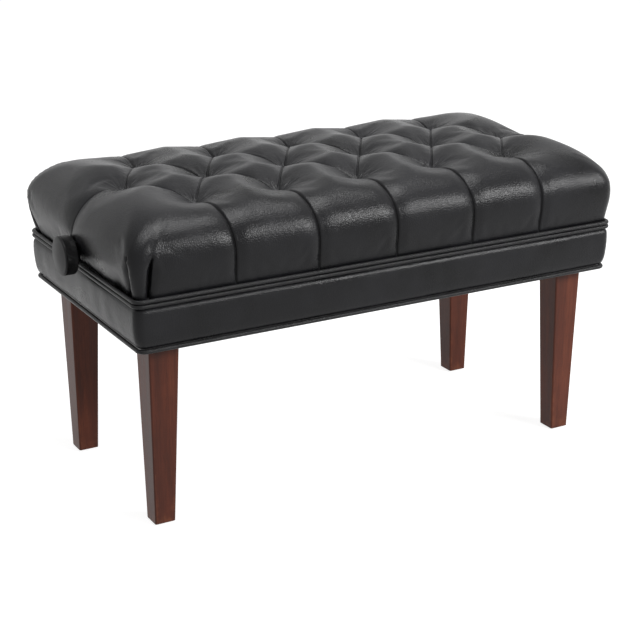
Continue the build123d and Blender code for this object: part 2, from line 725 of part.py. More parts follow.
# ================================================================ scissor arms
def flat_arm(y):
    """A flat bar with round ends along X from the origin, and a hole for its first pivot."""
    profile = Plane.XZ * Pos(arm_length / 2, 0) * SlotCenterToCenter(arm_length, arm_width)
    bar = Pos(0, y, 0) * extrude(profile, arm_thickness / 2, both=True)
    return bar - rod_y(0, 0, half_depth, 0, pivot_diameter + 2 * fit)


outer_arm = flat_arm(outer_arm_y)
outer_arm -= rod_y(arm_length / 2, 0, half_depth, 0, pivot_diameter + 2 * fit)
slot_height = screw_diameter + 2 * linkage_play
nut_bar_slot = rod_y(arm_length + fit, 0, half_depth, 0, slot_height)
nut_bar_slot += rod_y(arm_length - nut_slot_play, 0, half_depth, 0, slot_height)
nut_bar_slot += block(arm_length - nut_slot_play, arm_length + fit, 0, half_depth,
                      -slot_height / 2, slot_height / 2)
outer_arm -= nut_bar_slot
outer_arm = Pos(-pivot_x, 0, base_pivot_height) * Rot(0, -rest_angle, 0) * outer_arm
inner_arm = flat_arm(inner_arm_y)
inner_arm -= rod_y(arm_length / 2, 0, half_depth, 0, pivot_diameter + 2 * linkage_play)
inner_arm -= rod_y(arm_length, 0, half_depth, 0, pivot_diameter + 2 * fit)
inner_arm = Pos(-pivot_x, 0, screw_height) * Rot(0, rest_angle, 0) * inner_arm
for side_y, name in sides:
    save(f"outer_arm_{name}", on_side(outer_arm, side_y))
    save(f"inner_arm_{name}", on_side(inner_arm, side_y))

pin_outer = outer_arm_y + arm_thickness / 2
centre_pin = rod_y(0, inner_arm_face - shaft_past_ring, pin_outer, centre_height, pivot_diameter)
centre_pin += rod_y(0, pin_outer, pin_outer + pin_head_thickness, centre_height, pivot_shoulder_diameter)
centre_pin -= centre_groove
save("centre_pins", *[on_side(centre_pin, y) for y, _ in sides])
save("centre_pin_rings", *[on_side(centre_ring, y) for y, _ in sides])

roller_inner = inner_arm_y + arm_thickness / 2 + side_play
roller_outer = roller_inner + roller_width
roller_diameter = 2 * (base_pivot_height - rail_floor - linkage_play)
roller = rod_y(pivot_x, roller_inner, roller_outer, base_pivot_height, roller_diameter)
roller -= rod_y(pivot_x, roller_inner, roller_outer, base_pivot_height, pivot_diameter + 2 * fit)
roller_axle = rod_y(pivot_x, -roller_outer, roller_outer, base_pivot_height, pivot_diameter)
roller_axle -= roller_groove + on_side(roller_groove, -1)
save("roller_axle", roller_axle)
save("rollers", *[on_side(roller, y) for y, _ in sides])
save("roller_axle_rings", *[on_side(roller_ring, y) for y, _ in sides])

# ================================================================ nut, lift screw and knobs
nut_block = Pos(pivot_x, 0, screw_height) * Box(nut_length, nut_width, nut_height)
nut_block = chamfer(nut_block.edges(), nut_edge_chamfer)
nut_block -= rod_x(0, half_length, 0, screw_height, screw_diameter + 2 * fit)
nut_bar_start = nut_width / 2 - (nut_width - screw_diameter) / 4
nut_bar = rod_y(pivot_x, nut_bar_start, pin_outer + side_play, screw_height, screw_diameter)
nut_bar += rod_y(pivot_x, pin_outer, inner_y - side_play, screw_height, pivot_diameter)
nut_bar -= nut_groove
for side_y, _ in sides:
    hole = rod_y(pivot_x, nut_bar_start, nut_width, screw_height, screw_diameter + 2 * fit)
    nut_block -= on_side(hole, side_y)
save("nut_block", nut_block)
save("nut_bars", *[on_side(nut_bar, y) for y, _ in sides])
save("nut_bar_rings", *[on_side(nut_ring, y) for y, _ in sides])

bearing_inner = board_x - seat_end_rail_thickness - bearing_flange_thickness
bearing = rod_x(bearing_inner, board_x, 0, screw_height, bearing_diameter)
bearing += rod_x(bearing_inner, board_x - seat_end_rail_thickness, 0, screw_height, bearing_flange_diameter)
bearing -= rod_x(bearing_inner, board_x, 0, screw_height, screw_diameter + 2 * fit)
save("screw_bearings", *[on_end(bearing, x) for x, _ in ends])

collar_outer = bearing_inner - side_play
collar_middle = collar_outer - collar_length / 2
collar = rod_x(collar_outer - collar_length, collar_outer, 0, screw_height, collar_diameter)
collar -= rod_x(collar_outer - collar_length, collar_outer, 0, screw_height, screw_diameter + 2 * fit)
collar_grip = (collar_diameter - screw_diameter) / 2 - 2 * fit


def set_screw(x, length, grow=0.0):
    """A grub screw from above, down to the lift screw."""
    low = screw_height + screw_diameter / 2 + fit
    return rod_z(x, 0, low - grow, low + length + grow, set_screw_diameter + 2 * grow)


collar -= set_screw(collar_middle, collar_diameter, fit)
knob_inner = half_length + knob_stand
knob_face = knob_inner + knob_hub_length + knob_head_length
screw_end = knob_face - knob_wall
knob_radius = knob_diameter / 2


def knob_shape():
    """The right knob: a hub, a thick disc with bevelled rims, and a slightly domed face."""
    head_start = knob_inner + knob_hub_length
    rim = knob_face - knob_dome
    face_radius = knob_radius - knob_bevel
    dome_radius = (face_radius ** 2 + knob_dome ** 2) / (2 * knob_dome)
    half_way = knob_face - dome_radius + math.sqrt(dome_radius ** 2 - (face_radius / 2) ** 2)
    profile = Polyline((head_start, 0), (head_start, face_radius), (head_start + knob_bevel, knob_radius),
                       (rim - knob_bevel, knob_radius), (rim, face_radius))
    profile += ThreePointArc((rim, face_radius), (half_way, face_radius / 2), (knob_face, 0))
    profile += Line((knob_face, 0), (head_start, 0))
    head = Pos(0, 0, screw_height) * revolve(make_face(profile), axis=Axis.X)
    shape = head + rod_x(knob_inner, head_start, 0, screw_height, knob_hub_diameter)
    shape -= rod_x(knob_inner - 1, screw_end + fit, 0, screw_height, screw_diameter + 2 * fit)
    return shape - set_screw(knob_inner + knob_hub_length / 2, knob_hub_diameter / 2, fit)


hub_grip = (knob_hub_diameter - screw_diameter) / 2 - 2 * fit
one_knob = knob_shape()
for side_x, name in ends:
    save(f"knob_{name}", on_end(one_knob, side_x))
save("lift_screw", rod_x(-screw_end, screw_end, 0, screw_height, screw_diameter))
save("thrust_collars", *[on_end(collar, x) for x, _ in ends])
set_screws = [set_screw(collar_middle, collar_grip), set_screw(knob_inner + knob_hub_length / 2, hub_grip)]
save("set_screws", *[on_end(screw, x) for x, _ in ends for screw in set_screws])

top_angle = math.degrees(math.asin((pivot_rise + seat_travel) / arm_length))
print("arm length", round(arm_length, 3), "pivot x", round(pivot_x, 3))
print("base pivot z", base_pivot_height, "screw z", screw_height)
print("arm swing degrees", round(top_angle - rest_angle, 4), "nut travel", round(nut_travel, 4))
print("knob turns", round(nut_travel / screw_lead, 3), "foot", foot_x, foot_y, "knob face", knob_face)
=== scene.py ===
# %% [markdown]
# # A tufted piano bench with a lifting seat
# The bench stands on four tapered legs round a padded apron. A deep tufted cushion covers the
# seat, and two knobs turn a long screw that lifts it on a scissor linkage. The construction
# model already holds every rigid part at its true size, so this lesson loads it, adds the soft
# leather work and the fine metal detail, and gives each surface its finish.

# %% Load the construction model
import json
import math

import bmesh
import bpy
import numpy as np
from mathutils import Matrix, Vector
from mathutils.geometry import delaunay_2d_cdt


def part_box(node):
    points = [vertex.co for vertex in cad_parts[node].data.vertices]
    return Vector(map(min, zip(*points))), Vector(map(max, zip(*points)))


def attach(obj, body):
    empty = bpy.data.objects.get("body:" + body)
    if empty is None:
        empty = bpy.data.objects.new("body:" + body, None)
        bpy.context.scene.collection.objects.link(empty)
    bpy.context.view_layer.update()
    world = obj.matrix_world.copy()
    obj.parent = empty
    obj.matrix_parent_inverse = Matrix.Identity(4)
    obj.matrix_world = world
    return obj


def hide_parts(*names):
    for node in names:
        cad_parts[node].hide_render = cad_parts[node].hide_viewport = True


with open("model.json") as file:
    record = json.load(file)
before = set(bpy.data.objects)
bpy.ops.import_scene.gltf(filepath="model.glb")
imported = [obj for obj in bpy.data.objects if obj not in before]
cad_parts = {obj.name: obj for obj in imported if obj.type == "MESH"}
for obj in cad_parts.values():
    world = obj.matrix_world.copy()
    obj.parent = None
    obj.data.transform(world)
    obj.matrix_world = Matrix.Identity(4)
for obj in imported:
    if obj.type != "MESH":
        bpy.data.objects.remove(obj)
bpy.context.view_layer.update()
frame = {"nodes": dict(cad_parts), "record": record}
nodes = frame["nodes"]

# %% [markdown]
# ## The camera
# Furniture shows its shape best from a little above seat height through a long lens, because
# upright edges then stay nearly parallel. The camera's place and its three angles were worked
# out once and are kept as plain numbers.

# %% Place the camera
def new_object(name, data):
    """An object in the scene that shows a mesh, a camera or a lamp."""
    made = bpy.data.objects.new(name, data)
    bpy.context.collection.objects.link(made)
    return made


def aimed(place, direction):
    """Stands a camera or a lamp at a place and turns it along a direction."""
    return Matrix.Translation(place) @ direction.to_track_quat("-Z", "Y").to_matrix().to_4x4()


camera_place = Vector((-1.1270, -2.0041, 1.0072))
camera_azimuth = math.radians(-29.241)
camera_fall = math.radians(19.502)
camera_roll = math.radians(-0.101)

ahead = Vector((-math.sin(camera_azimuth) * math.cos(camera_fall),
                math.cos(camera_azimuth) * math.cos(camera_fall),
                -math.sin(camera_fall)))
camera_data = bpy.data.cameras.new("camera")
camera_data.lens = 89.31
camera_data.sensor_width = 36.0
camera_data.clip_start = 0.05
camera = new_object("camera", camera_data)
camera.matrix_world = aimed(camera_place, ahead) @ Matrix.Rotation(camera_roll, 4, "Z")
bpy.context.scene.camera = camera
print("camera looks along", [round(v, 3) for v in ahead])

# %% [markdown]
# ## Building node trees
# Every finish and every Geometry Nodes tree below is a graph of nodes. The first helper adds a
# node, applies its settings, and either links or fills each input. The others name the few
# nodes that come back in every finish, so that a graph is short enough to read as a recipe.

# %% Helpers for node trees
def add_node(tree, kind, inputs=None, **settings):
    """Adds a node. An input is linked when its value is a socket, and filled otherwise."""
    node = tree.nodes.new(kind)
    for name, value in settings.items():
        setattr(node, name, value)
    for name, value in (inputs or {}).items():
        if isinstance(value, bpy.types.NodeSocket):
            tree.links.new(value, node.inputs[name])
        else:
            node.inputs[name].default_value = value
    return node


def math_node(tree, operation, first, second=0.0, clamp=False):
    """A Math node's result."""
    node = add_node(tree, "ShaderNodeMath", {0: first, 1: second}, operation=operation)
    node.use_clamp = clamp
    return node.outputs[0]


def times(tree, first, second):
    """The product of two values."""
    return math_node(tree, "MULTIPLY", first, second)


def weighted(tree, first, first_weight, second, second_weight):
    """Two values added by weight."""
    return math_node(tree, "ADD", times(tree, first, first_weight), times(tree, second, second_weight))


def vector_node(tree, operation, first, second):
    """A Vector Math node's result."""
    return add_node(tree, "ShaderNodeVectorMath", {0: first, 1: second}, operation=operation).outputs[0]


def noise_node(tree, vector, scale, detail, output=0, **more):
    """A Noise Texture's value, or its colour."""
    values = {"Vector": vector, "Scale": scale, "Detail": detail, **more}
    return add_node(tree, "ShaderNodeTexNoise", values).outputs[output]


def mix_node(tree, share, first, second):
    """A colour that goes from the first to the second as the share grows. The second is plain."""
    values = {0: share, 6: first, 7: (*second, 1)}
    return add_node(tree, "ShaderNodeMix", values, data_type="RGBA").outputs[2]


def ramp_node(tree, value, stops):
    """A Color Ramp's colour for a value. Each stop is a position and a colour."""
    node = add_node(tree, "ShaderNodeValToRGB", {0: value})
    elements = node.color_ramp.elements
    while len(elements) < len(stops):
        elements.new(0.5)
    for element, (position, colour) in zip(elements, stops):
        element.position = position
        element.color = (*colour, 1.0)
    return node.outputs[0]


def span_node(tree, value, low, high, to_low=0.0, to_high=1.0):
    """Map Range from one span to another, held at both ends."""
    values = {"Value": value, "From Min": low, "From Max": high, "To Min": to_low, "To Max": to_high}
    return add_node(tree, "ShaderNodeMapRange", values).outputs[0]


def open_group(name, inputs):
    """An empty shader group and its input sockets. An input that starts as a number is a number,
    and any other is a vector."""
    group = bpy.data.node_groups.new(name, "ShaderNodeTree")
    for socket_name, start in inputs.items():
        kind = "NodeSocketFloat" if isinstance(start, float) else "NodeSocketVector"
        socket = group.interface.new_socket(socket_name, in_out="INPUT", socket_type=kind)
        if start is not None:
            socket.default_value = start
    return group, group.nodes.new("NodeGroupInput").outputs


def close_group(group, **results):
    """Gives a group one output for each result."""
    for name in results:
        group.interface.new_socket(name, in_out="OUTPUT", socket_type="NodeSocketFloat")
    add_node(group, "NodeGroupOutput", results)
    print(group.name, "gives", list(results))


def use_group(tree, group, place, **values):
    """Places a shader group in a tree and returns its outputs."""
    inputs = {"Vector": place, **{name.replace("_", " "): value for name, value in values.items()}}
    return add_node(tree, "ShaderNodeGroup", inputs, node_tree=group).outputs


print("node helpers ready")

# %% [markdown]
# ## The floor and the white surroundings
# The bench stands on a plain floor in a plain white room. The floor keeps a soft shadow, so it
# is an ordinary grey surface that also glows, but only for the camera and in mirrors. That
# lifts it to white without putting more light on the bench. From below the floor is clear, so
# that the underside can be looked at.

# %% Floor and room
def new_mesh(name, places, faces):
    """A mesh from its corner places and its faces."""
    mesh = bpy.data.meshes.new(name)
    mesh.from_pydata([tuple(place) for place in places], [], faces)
    return mesh


def seen_white(tree):
    """One for camera, mirror and glass rays, and nothing for the light that falls on the bench."""
    path = tree.nodes.new("ShaderNodeLightPath").outputs
    seen = math_node(tree, "MAXIMUM", path["Is Camera Ray"], path["Is Glossy Ray"])
    return math_node(tree, "MAXIMUM", seen, path["Is Transmission Ray"])


floor_half = 30.0
floor_drop = 0.0006                     # keeps the feet from lying in the floor
floor_glow = 0.86
floor_places = [(x * floor_half, y * floor_half, -floor_drop)
                for x, y in ((-1, -1), (1, -1), (1, 1), (-1, 1))]
floor_mesh = new_mesh("floor", floor_places, [(0, 1, 2, 3)])
floor = new_object("floor", floor_mesh)
floor_finish = bpy.data.materials.new("floor_finish")
floor_finish.use_nodes = True
tree = floor_finish.node_tree
tree.nodes.clear()
matt = add_node(tree, "ShaderNodeBsdfDiffuse", {"Color": (0.34, 0.34, 0.34, 1)}).outputs[0]
glow = add_node(tree, "ShaderNodeEmission",
                {"Color": (1, 1, 1, 1), "Strength": times(tree, seen_white(tree), floor_glow)}).outputs[0]
both = add_node(tree, "ShaderNodeAddShader", {0: matt, 1: glow}).outputs[0]
clear = add_node(tree, "ShaderNodeBsdfTransparent").outputs[0]
from_below = add_node(tree, "ShaderNodeNewGeometry").outputs["Backfacing"]
one_way = add_node(tree, "ShaderNodeMixShader", {0: from_below, 1: both, 2: clear}).outputs[0]
add_node(tree, "ShaderNodeOutputMaterial", {"Surface": one_way})
floor_mesh.materials.append(floor_finish)

room_light = 0.45
world = bpy.data.worlds.new("room")
world.use_nodes = True
bpy.context.scene.world = world
tree = world.node_tree
tree.nodes.clear()
power = math_node(tree, "MAXIMUM", seen_white(tree), room_light)
room = add_node(tree, "ShaderNodeBackground", {"Color": (1, 1, 1, 1), "Strength": power}).outputs[0]
add_node(tree, "ShaderNodeOutputWorld", {"Surface": room})
bpy.context.scene.view_settings.view_transform = "Standard"
print("floor and room ready")

# %% [markdown]
# ## The lamps
# Black leather shows its form only through what it mirrors, so the size and place of a lamp
# matter more than its power. One wide lamp hangs overhead for the tops of the pillows. One
# long low lamp stands off to the right of the front, and draws the streak along the cushion's
# front shoulder.

# %% Hang the lamps
middle_of_bench = Vector((0.0, 0.0, 0.35))


def soft_lamp(name, place, width, height, power):
    """A rectangular area lamp at a place, turned towards the bench."""
    data = bpy.data.lights.new(name, "AREA")
    data.shape = "RECTANGLE"
    data.size = width
    data.size_y = height
    data.energy = power
    new_object(name, data).matrix_world = aimed(Vector(place), middle_of_bench - Vector(place))
    print(name, power, "W")


soft_lamp("overhead_lamp", (0.10, -0.36, 2.3), 1.6, 0.75, 42.0)
soft_lamp("key_lamp", (1.40, -1.93, 1.38), 1.35, 0.42, 66.0)

# %% [markdown]
# ## Shared surface effects
# Leather grain, wood grain, slow cloudiness and rubbed edges appear in more than one finish.
# Each is a shader group that puts out a mask or a height, so that a finish can mix it in at its
# own strength.

# %% Cloudy tone
group, given = open_group("cloudy_tone", {"Vector": None, "Size": 0.05, "Contrast": 1.0})
cloud_scale = math_node(group, "DIVIDE", 1.0, given["Size"])
cloud = noise_node(group, given["Vector"], cloud_scale, 4.0, Roughness=0.55)
cloud = times(group, math_node(group, "SUBTRACT", cloud, 0.5), given["Contrast"])
close_group(group, Mask=math_node(group, "ADD", cloud, 0.5, clamp=True))
cloud_group = group

# %% Leather grain
group, given = open_group("leather_grain", {"Vector": None, "Pebble Size": 0.0016})
bend_scale, bend_reach = 240.0, 0.0012
grain_scale = math_node(group, "DIVIDE", 1.0, given["Pebble Size"])
bend = noise_node(group, given["Vector"], bend_scale, 2.0, output="Color")
bent = vector_node(group, "ADD", given["Vector"], vector_node(group, "MULTIPLY", bend, (bend_reach,) * 3))
pebbles = add_node(group, "ShaderNodeTexVoronoi", {"Vector": bent, "Scale": grain_scale},
                   feature="DISTANCE_TO_EDGE").outputs["Distance"]
fine = noise_node(group, given["Vector"], times(group, grain_scale, 2.2), 3.0)
close_group(group, Height=weighted(group, span_node(group, pebbles, 0.0, 0.28), 0.75, fine, 0.35),
            Pores=span_node(group, pebbles, 0.0, 0.10, 1.0, 0.0))
grain_group = group

# %% Rubbed edges
group, given = open_group("edge_wear", {"Vector": None, "Amount": 0.5})
pointed = group.nodes.new("ShaderNodeNewGeometry").outputs["Pointiness"]
broken = span_node(group, noise_node(group, given["Vector"], 95.0, 5.0), 0.38, 0.66)
edge = times(group, span_node(group, pointed, 0.52, 0.60), broken)
close_group(group, Mask=math_node(group, "MULTIPLY", edge, given["Amount"], clamp=True))
wear_group = group

# %% Wood grain
group, given = open_group("wood_grain", {"Vector": None, "Along": (1.0, 1.0, 0.06), "Line Size": 0.004})
stretched = vector_node(group, "MULTIPLY", given["Vector"], given["Along"])
line_scale = math_node(group, "DIVIDE", 1.0, given["Line Size"])
broad = noise_node(group, stretched, times(group, line_scale, 0.16), 3.0, Distortion=0.6)
lines = noise_node(group, stretched, line_scale, 5.0, Roughness=0.65)
pores = span_node(group, noise_node(group, stretched, times(group, line_scale, 3.0), 2.0), 0.60, 0.68)
close_group(group, Tone=weighted(group, broad, 0.6, lines, 0.4), Pores=pores,
            Height=math_node(group, "SUBTRACT", lines, times(group, pores, 0.6)))
wood_group = group

# %% [markdown]
# ## The finishes
# A finish is one Principled shader with its colour, roughness and bump driven by the shared
# groups. A recipe works out those three from a place on the piece, and one function fills the
# shader in. A table gives the recipe its numbers, with a row for each finish.

# %% Fill in a finish
def fill_finish(tree, colour, rough, *bumps, **plain):
    """A Principled shader with its colour, roughness, stacked Bump nodes and plain numbers. Each
    bump is a height, a strength and a depth in metres."""
    plain = {key.replace("_", " "): value for key, value in plain.items()}
    shader = add_node(tree, "ShaderNodeBsdfPrincipled", {"Base Color": colour, "Roughness": rough, **plain})
    add_node(tree, "ShaderNodeOutputMaterial", {"Surface": shader.outputs[0]})
    normal = {}
    for height, strength, depth in bumps:
        values = {"Height": height, "Strength": strength, "Distance": depth, **normal}
        normal = {"Normal": add_node(tree, "ShaderNodeBump", values).outputs[0]}
    tree.links.new(normal["Normal"], shader.inputs["Normal"])


finishes = {}


def make_finishes(recipe, table):
    """Makes one finish for each row of a table: its slot, its name and the recipe's numbers."""
    for slot, name, *numbers in table:
        finishes[slot] = bpy.data.materials.new(name)
        finishes[slot].use_nodes = True
        tree = finishes[slot].node_tree
        tree.nodes.clear()
        recipe(tree, tree.nodes.new("ShaderNodeTexCoord").outputs["Object"], *numbers)
        print(slot, "is", name)


print("ready to fill in finishes")

# %% [markdown]
# ### Black leather
# The cover is corrected black hide with a fine pebble grain and a soft shine. Creases turn
# rougher and are darkened with painted shade, and the skin is pulled into short radial
# folds round each tuft. The mesh carries both as attributes, because only the mesh knows where
# its tufts are.

# %% Leather finishes
def leather_finish(tree, place, dark, light, pebble, gloss_low, gloss_high):
    """Semi-gloss leather. Crease and pull attributes are zero on pieces without tufts."""
    crease, pull = (add_node(tree, "ShaderNodeAttribute", attribute_name=kind).outputs["Fac"]
                    for kind in ("crease", "pull"))
    around = add_node(tree, "ShaderNodeAttribute", attribute_name="around_tuft").outputs["Vector"]
    cloud = use_group(tree, cloud_group, place, Size=0.07, Contrast=1.5)["Mask"]
    grain = use_group(tree, grain_group, place, Pebble_Size=pebble)
    # painted shade: the crease attribute darkens the leather along the pleat slits and in the tuft pits; the
    # grain's pores darken it too
    shade = math_node(tree, "MAXIMUM", times(tree, crease, 0.65), times(tree, grain["Pores"], 0.25))
    tone = ramp_node(tree, cloud, [(0.25, dark), (0.8, light)])
    colour = mix_node(tree, shade, tone, (0.004, 0.004, 0.004))
    rough = span_node(tree, cloud, 0.2, 0.8, gloss_low, gloss_high)
    rough = math_node(tree, "ADD", rough, times(tree, crease, 0.25), clamp=True)
    folds = times(tree, span_node(tree, noise_node(tree, around, 3.4, 2.0), 0.35, 0.65), pull)
    slack, rubbed = noise_node(tree, place, 38.0, 3.0), noise_node(tree, place, 170.0, 4.0)
    fill_finish(tree, colour, rough, (slack, 0.22, 0.0012), (rubbed, 0.16, 0.0006), (folds, 0.8, 0.0016),
                (grain["Height"], 0.40, 0.00045), Specular_IOR_Level=0.2, IOR=1.45)


# slot, name, darker and lighter tone, pebble size, roughness from and to
make_finishes(leather_finish, [
    ("leather", "leather_finish", (0.0040, 0.0040, 0.0046), (0.0080, 0.0080, 0.0094), 0.0030, 0.25, 0.36),
    ("piping_leather", "piping_finish", (0.008, 0.008, 0.0085), (0.013, 0.013, 0.014), 0.0011, 0.28, 0.38)])

# %% [markdown]
# ### Stained and raw wood
# The legs are stained a red-brown mahogany under satin lacquer, with the grain upright. Braces,
# boards and seat frame are plain hardwood and ply that nobody sees from above, so they stay
# bare. All of them use the same grain group, stretched along another axis or in other colours.

# %% Wood finishes
def wood_finish(tree, place, tones, along, line_size, rough_low, rough_high, wear_colour, wear, coat):
    """A board with grain along one axis. The tones run from dark to light wood."""
    grain = use_group(tree, wood_group, place, Along=along, Line_Size=line_size)
    cloud = use_group(tree, cloud_group, place, Size=0.11, Contrast=1.6)["Mask"]
    edge = use_group(tree, wear_group, place, Amount=wear)["Mask"]
    tone = weighted(tree, grain["Tone"], 0.8, cloud, 0.2)
    colour = ramp_node(tree, tone, list(zip((0.28, 0.5, 0.74), tones)))
    colour = mix_node(tree, times(tree, grain["Pores"], 0.45), colour, tones[0])
    colour = mix_node(tree, edge, colour, wear_colour)
    rough = span_node(tree, grain["Tone"], 0.3, 0.7, rough_low, rough_high)
    fill_finish(tree, colour, rough, (grain["Height"], 0.25, 0.0003), Coat_Weight=coat,
                Coat_Roughness=0.28, Specular_IOR_Level=0.15)


mahogany_tones = (0.034, 0.009, 0.005), (0.076, 0.019, 0.010), (0.142, 0.040, 0.020)
hardwood_tones = (0.30, 0.19, 0.105), (0.44, 0.30, 0.175), (0.55, 0.41, 0.26)
plywood_tones = (0.38, 0.27, 0.165), (0.52, 0.39, 0.25), (0.63, 0.50, 0.345)
hardwood_wear = (0.62, 0.48, 0.32)
# slot, name, tones, stretch, line size, roughness from and to, worn colour and how much, coat
make_finishes(wood_finish, [
    ("mahogany", "mahogany_finish", mahogany_tones, (1.0, 1.0, 0.05), 0.0035,
     0.30, 0.46, (0.22, 0.075, 0.035), 0.5, 0.05),
    ("hardwood", "hardwood_finish", hardwood_tones, (0.06, 1.0, 1.0), 0.004,
     0.55, 0.72, hardwood_wear, 0.4, 0.0),
    ("hardwood_across", "hardwood_across_finish", hardwood_tones, (1.0, 0.06, 1.0), 0.004,
     0.55, 0.72, hardwood_wear, 0.4, 0.0),
    ("plywood", "plywood_finish", plywood_tones, (0.05, 0.7, 4.0), 0.006,
     0.6, 0.78, (0.7, 0.58, 0.42), 0.4, 0.0)])

# %% [markdown]
# ### Metal, plastic, twine and foam
# The rails and arms are powder coated, which gives an even orange-peel bump and edges that wear
# lighter. Pins, bolts and the lift screw are bare metal with fine turning marks. The knobs are
# moulded black plastic with a dull shine.

# %% Metal finishes
def metal_finish(tree, place, colour_low, colour_high, rough_low, rough_high, line_scale):
    """Bare turned metal. The marks run round the X axis, the way the screw was turned."""
    cloud = use_group(tree, cloud_group, place, Size=0.02, Contrast=1.4)["Mask"]
    drawn = vector_node(tree, "MULTIPLY", place, (1.0, 0.12, 0.12))
    marks = noise_node(tree, drawn, line_scale, 3.0)
    fill_finish(tree, ramp_node(tree, cloud, [(0.2, colour_low), (0.8, colour_high)]),
                span_node(tree, marks, 0.3, 0.7, rough_low, rough_high), (marks, 0.2, 0.0001), Metallic=1.0)


def coated_finish(tree, place, colour, worn_colour, rough_low, rough_high, wear, peel_scale, peel, shine):
    """Powder coat or moulded plastic: an even skin with a slight peel and rubbed edges."""
    cloud = use_group(tree, cloud_group, place, Size=0.05, Contrast=1.5)["Mask"]
    edge = use_group(tree, wear_group, place, Amount=wear)["Mask"]
    skin = ramp_node(tree, cloud, [(0.2, [0.8 * v for v in colour]), (0.8, [1.25 * v for v in colour])])
    fill_finish(tree, mix_node(tree, edge, skin, worn_colour),
                span_node(tree, cloud, 0.2, 0.8, rough_low, rough_high),
                (noise_node(tree, place, peel_scale, 2.0), peel, 0.0002), Specular_IOR_Level=shine)


# slot, name, darker and lighter tone, roughness from and to, scale of the marks
make_finishes(metal_finish, [
    ("bright_steel", "bright_steel_finish", (0.48, 0.48, 0.50), (0.66, 0.66, 0.67), 0.22, 0.40, 900.0),
    ("screw_steel", "screw_steel_finish", (0.30, 0.29, 0.28), (0.50, 0.49, 0.47), 0.24, 0.42, 700.0),
    ("brass", "brass_finish", (0.55, 0.36, 0.12), (0.74, 0.53, 0.22), 0.20, 0.38, 800.0)])
# slot, name, colour, worn colour, roughness from and to, wear, scale and strength of the peel, shine
make_finishes(coated_finish, [
    ("rail_steel", "rail_coat_finish", (0.026, 0.026, 0.028), (0.20, 0.20, 0.20),
     0.38, 0.52, 0.45, 650.0, 0.3, 0.3),
    ("arm_steel", "arm_coat_finish", (0.030, 0.030, 0.032), (0.26, 0.26, 0.26),
     0.34, 0.48, 0.6, 650.0, 0.3, 0.3),
    ("nylon", "nylon_finish", (0.030, 0.028, 0.026), (0.07, 0.066, 0.06),
     0.5, 0.62, 0.5, 900.0, 0.2, 0.3),
    ("knob_plastic", "knob_finish", (0.009, 0.009, 0.0095), (0.04, 0.04, 0.04),
     0.34, 0.46, 0.35, 500.0, 0.06, 0.12)])

# %% Twine, foam and wadding finishes
def soft_finish(tree, place, colour_low, colour_high, fibre_scale, bump):
    """A dull fibrous material for twine, foam and wadding."""
    fibres = noise_node(tree, place, fibre_scale, 5.0)
    fill_finish(tree, ramp_node(tree, fibres, [(0.3, colour_low), (0.7, colour_high)]), 0.95,
                (fibres, bump, 0.0006), Sheen_Weight=0.3)


# slot, name, darker and lighter tone, scale of the fibres, strength of the bump
make_finishes(soft_finish, [
    ("twine", "twine_finish", (0.30, 0.25, 0.17), (0.52, 0.45, 0.33), 1400.0, 0.8),
    ("foam", "foam_finish", (0.62, 0.56, 0.40), (0.80, 0.75, 0.58), 1100.0, 0.6),
    ("wadding", "wadding_finish", (0.74, 0.74, 0.72), (0.9, 0.9, 0.88), 500.0, 0.8)])

# %% [markdown]
# ## Dress the construction model
# Each rigid part keeps its own mesh and takes the finish of its material slot in the record.
# Boards that run front to back use the grain that crosses the bench.

# %% Finish every rigid part
boards_across = ["seat_rail_left", "seat_rail_right"]
for row in frame["record"]["subparts"]:
    part = nodes[row["node"]]
    finish = finishes["hardwood_across" if row["node"] in boards_across else row["material_slot"]]
    part.data.materials.clear()
    part.data.materials.append(finish)

# %% [markdown]
# ## The cushion, laid out flat
# A deep-buttoned cushion is one hide, pulled down at sixteen tufts. Pleats join the tufts in
# diamonds and run from the outer tufts over the edge towards the seam. It is easiest to plan as the
# upholsterer does, flat: the hide is a rounded sheet, its middle lies on top of the cushion,
# and its border folds down the sides. A table gives, for each distance beyond the flat top, how
# far in and how high that line of the hide lies.

# %% Sizes of the hide
hair = 0.0001                        # keeps closed pieces off the solids inside them
cover_low, cover_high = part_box("seat_cover")
half_x, half_y = cover_high[0] + 0.0005, cover_high[1] + 0.0015
board_x, board_y, board_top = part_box("seat_board")[1]
piping_x, piping_y, piping_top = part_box("seat_piping")[1]
piping_thick = piping_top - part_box("seat_piping")[0][2]
under_height = cover_low[2] + hair
flap = 0.0130                        # how far the leather turns in under a board

flat_inset, flat_height, flat_corner = 0.092, 0.4635, 0.052
flat_x, flat_y = half_x - flat_inset, half_y - flat_inset
straight_x, straight_y = flat_x - flat_corner, flat_y - flat_corner
widest_height, side_corner = 0.3965, 0.024

# from the crown to the hem: inset from the widest line, height, corner radius in plan, and
# how much further the ends are drawn in than the long sides
shoulder_angles = np.radians([90, 76, 63, 51, 40, 30, 20, 10])
hide_rows = [(flat_inset * (1 - math.cos(a)), widest_height + (flat_height - widest_height) * math.sin(a),
              flat_corner + (side_corner - flat_corner) * math.cos(a), 0.0) for a in shoulder_angles]
hide_rows += [(0.0, widest_height, side_corner, 0.0), (0.0009, 0.3800, 0.021, 0.0012),
              (0.0034, 0.3650, 0.017, 0.0032), (0.0058, 0.3530, 0.013, 0.0046),
              (0.0074, 0.3456, 0.010, 0.0052)]
tuck = half_y - piping_y + piping_thick + hair
end_tuck = half_x - piping_x + piping_thick + hair - tuck
hem = half_y - board_y + flap
hide_rows += [(tuck, 0.3424, 0.007, end_tuck), (tuck + 0.0018, under_height, 0.007, end_tuck),
              (hem, under_height, 0.005, half_x - board_x + flap - hem)]
hide_rows = np.array(hide_rows)
hide_steps = np.hypot(*np.diff(hide_rows[:, :2], axis=0).T)
hide_lines = np.column_stack([np.concatenate([[0.0], np.cumsum(hide_steps)]), hide_rows])
seam_distance, hem_distance = hide_lines[-4, 0], hide_lines[-1, 0]

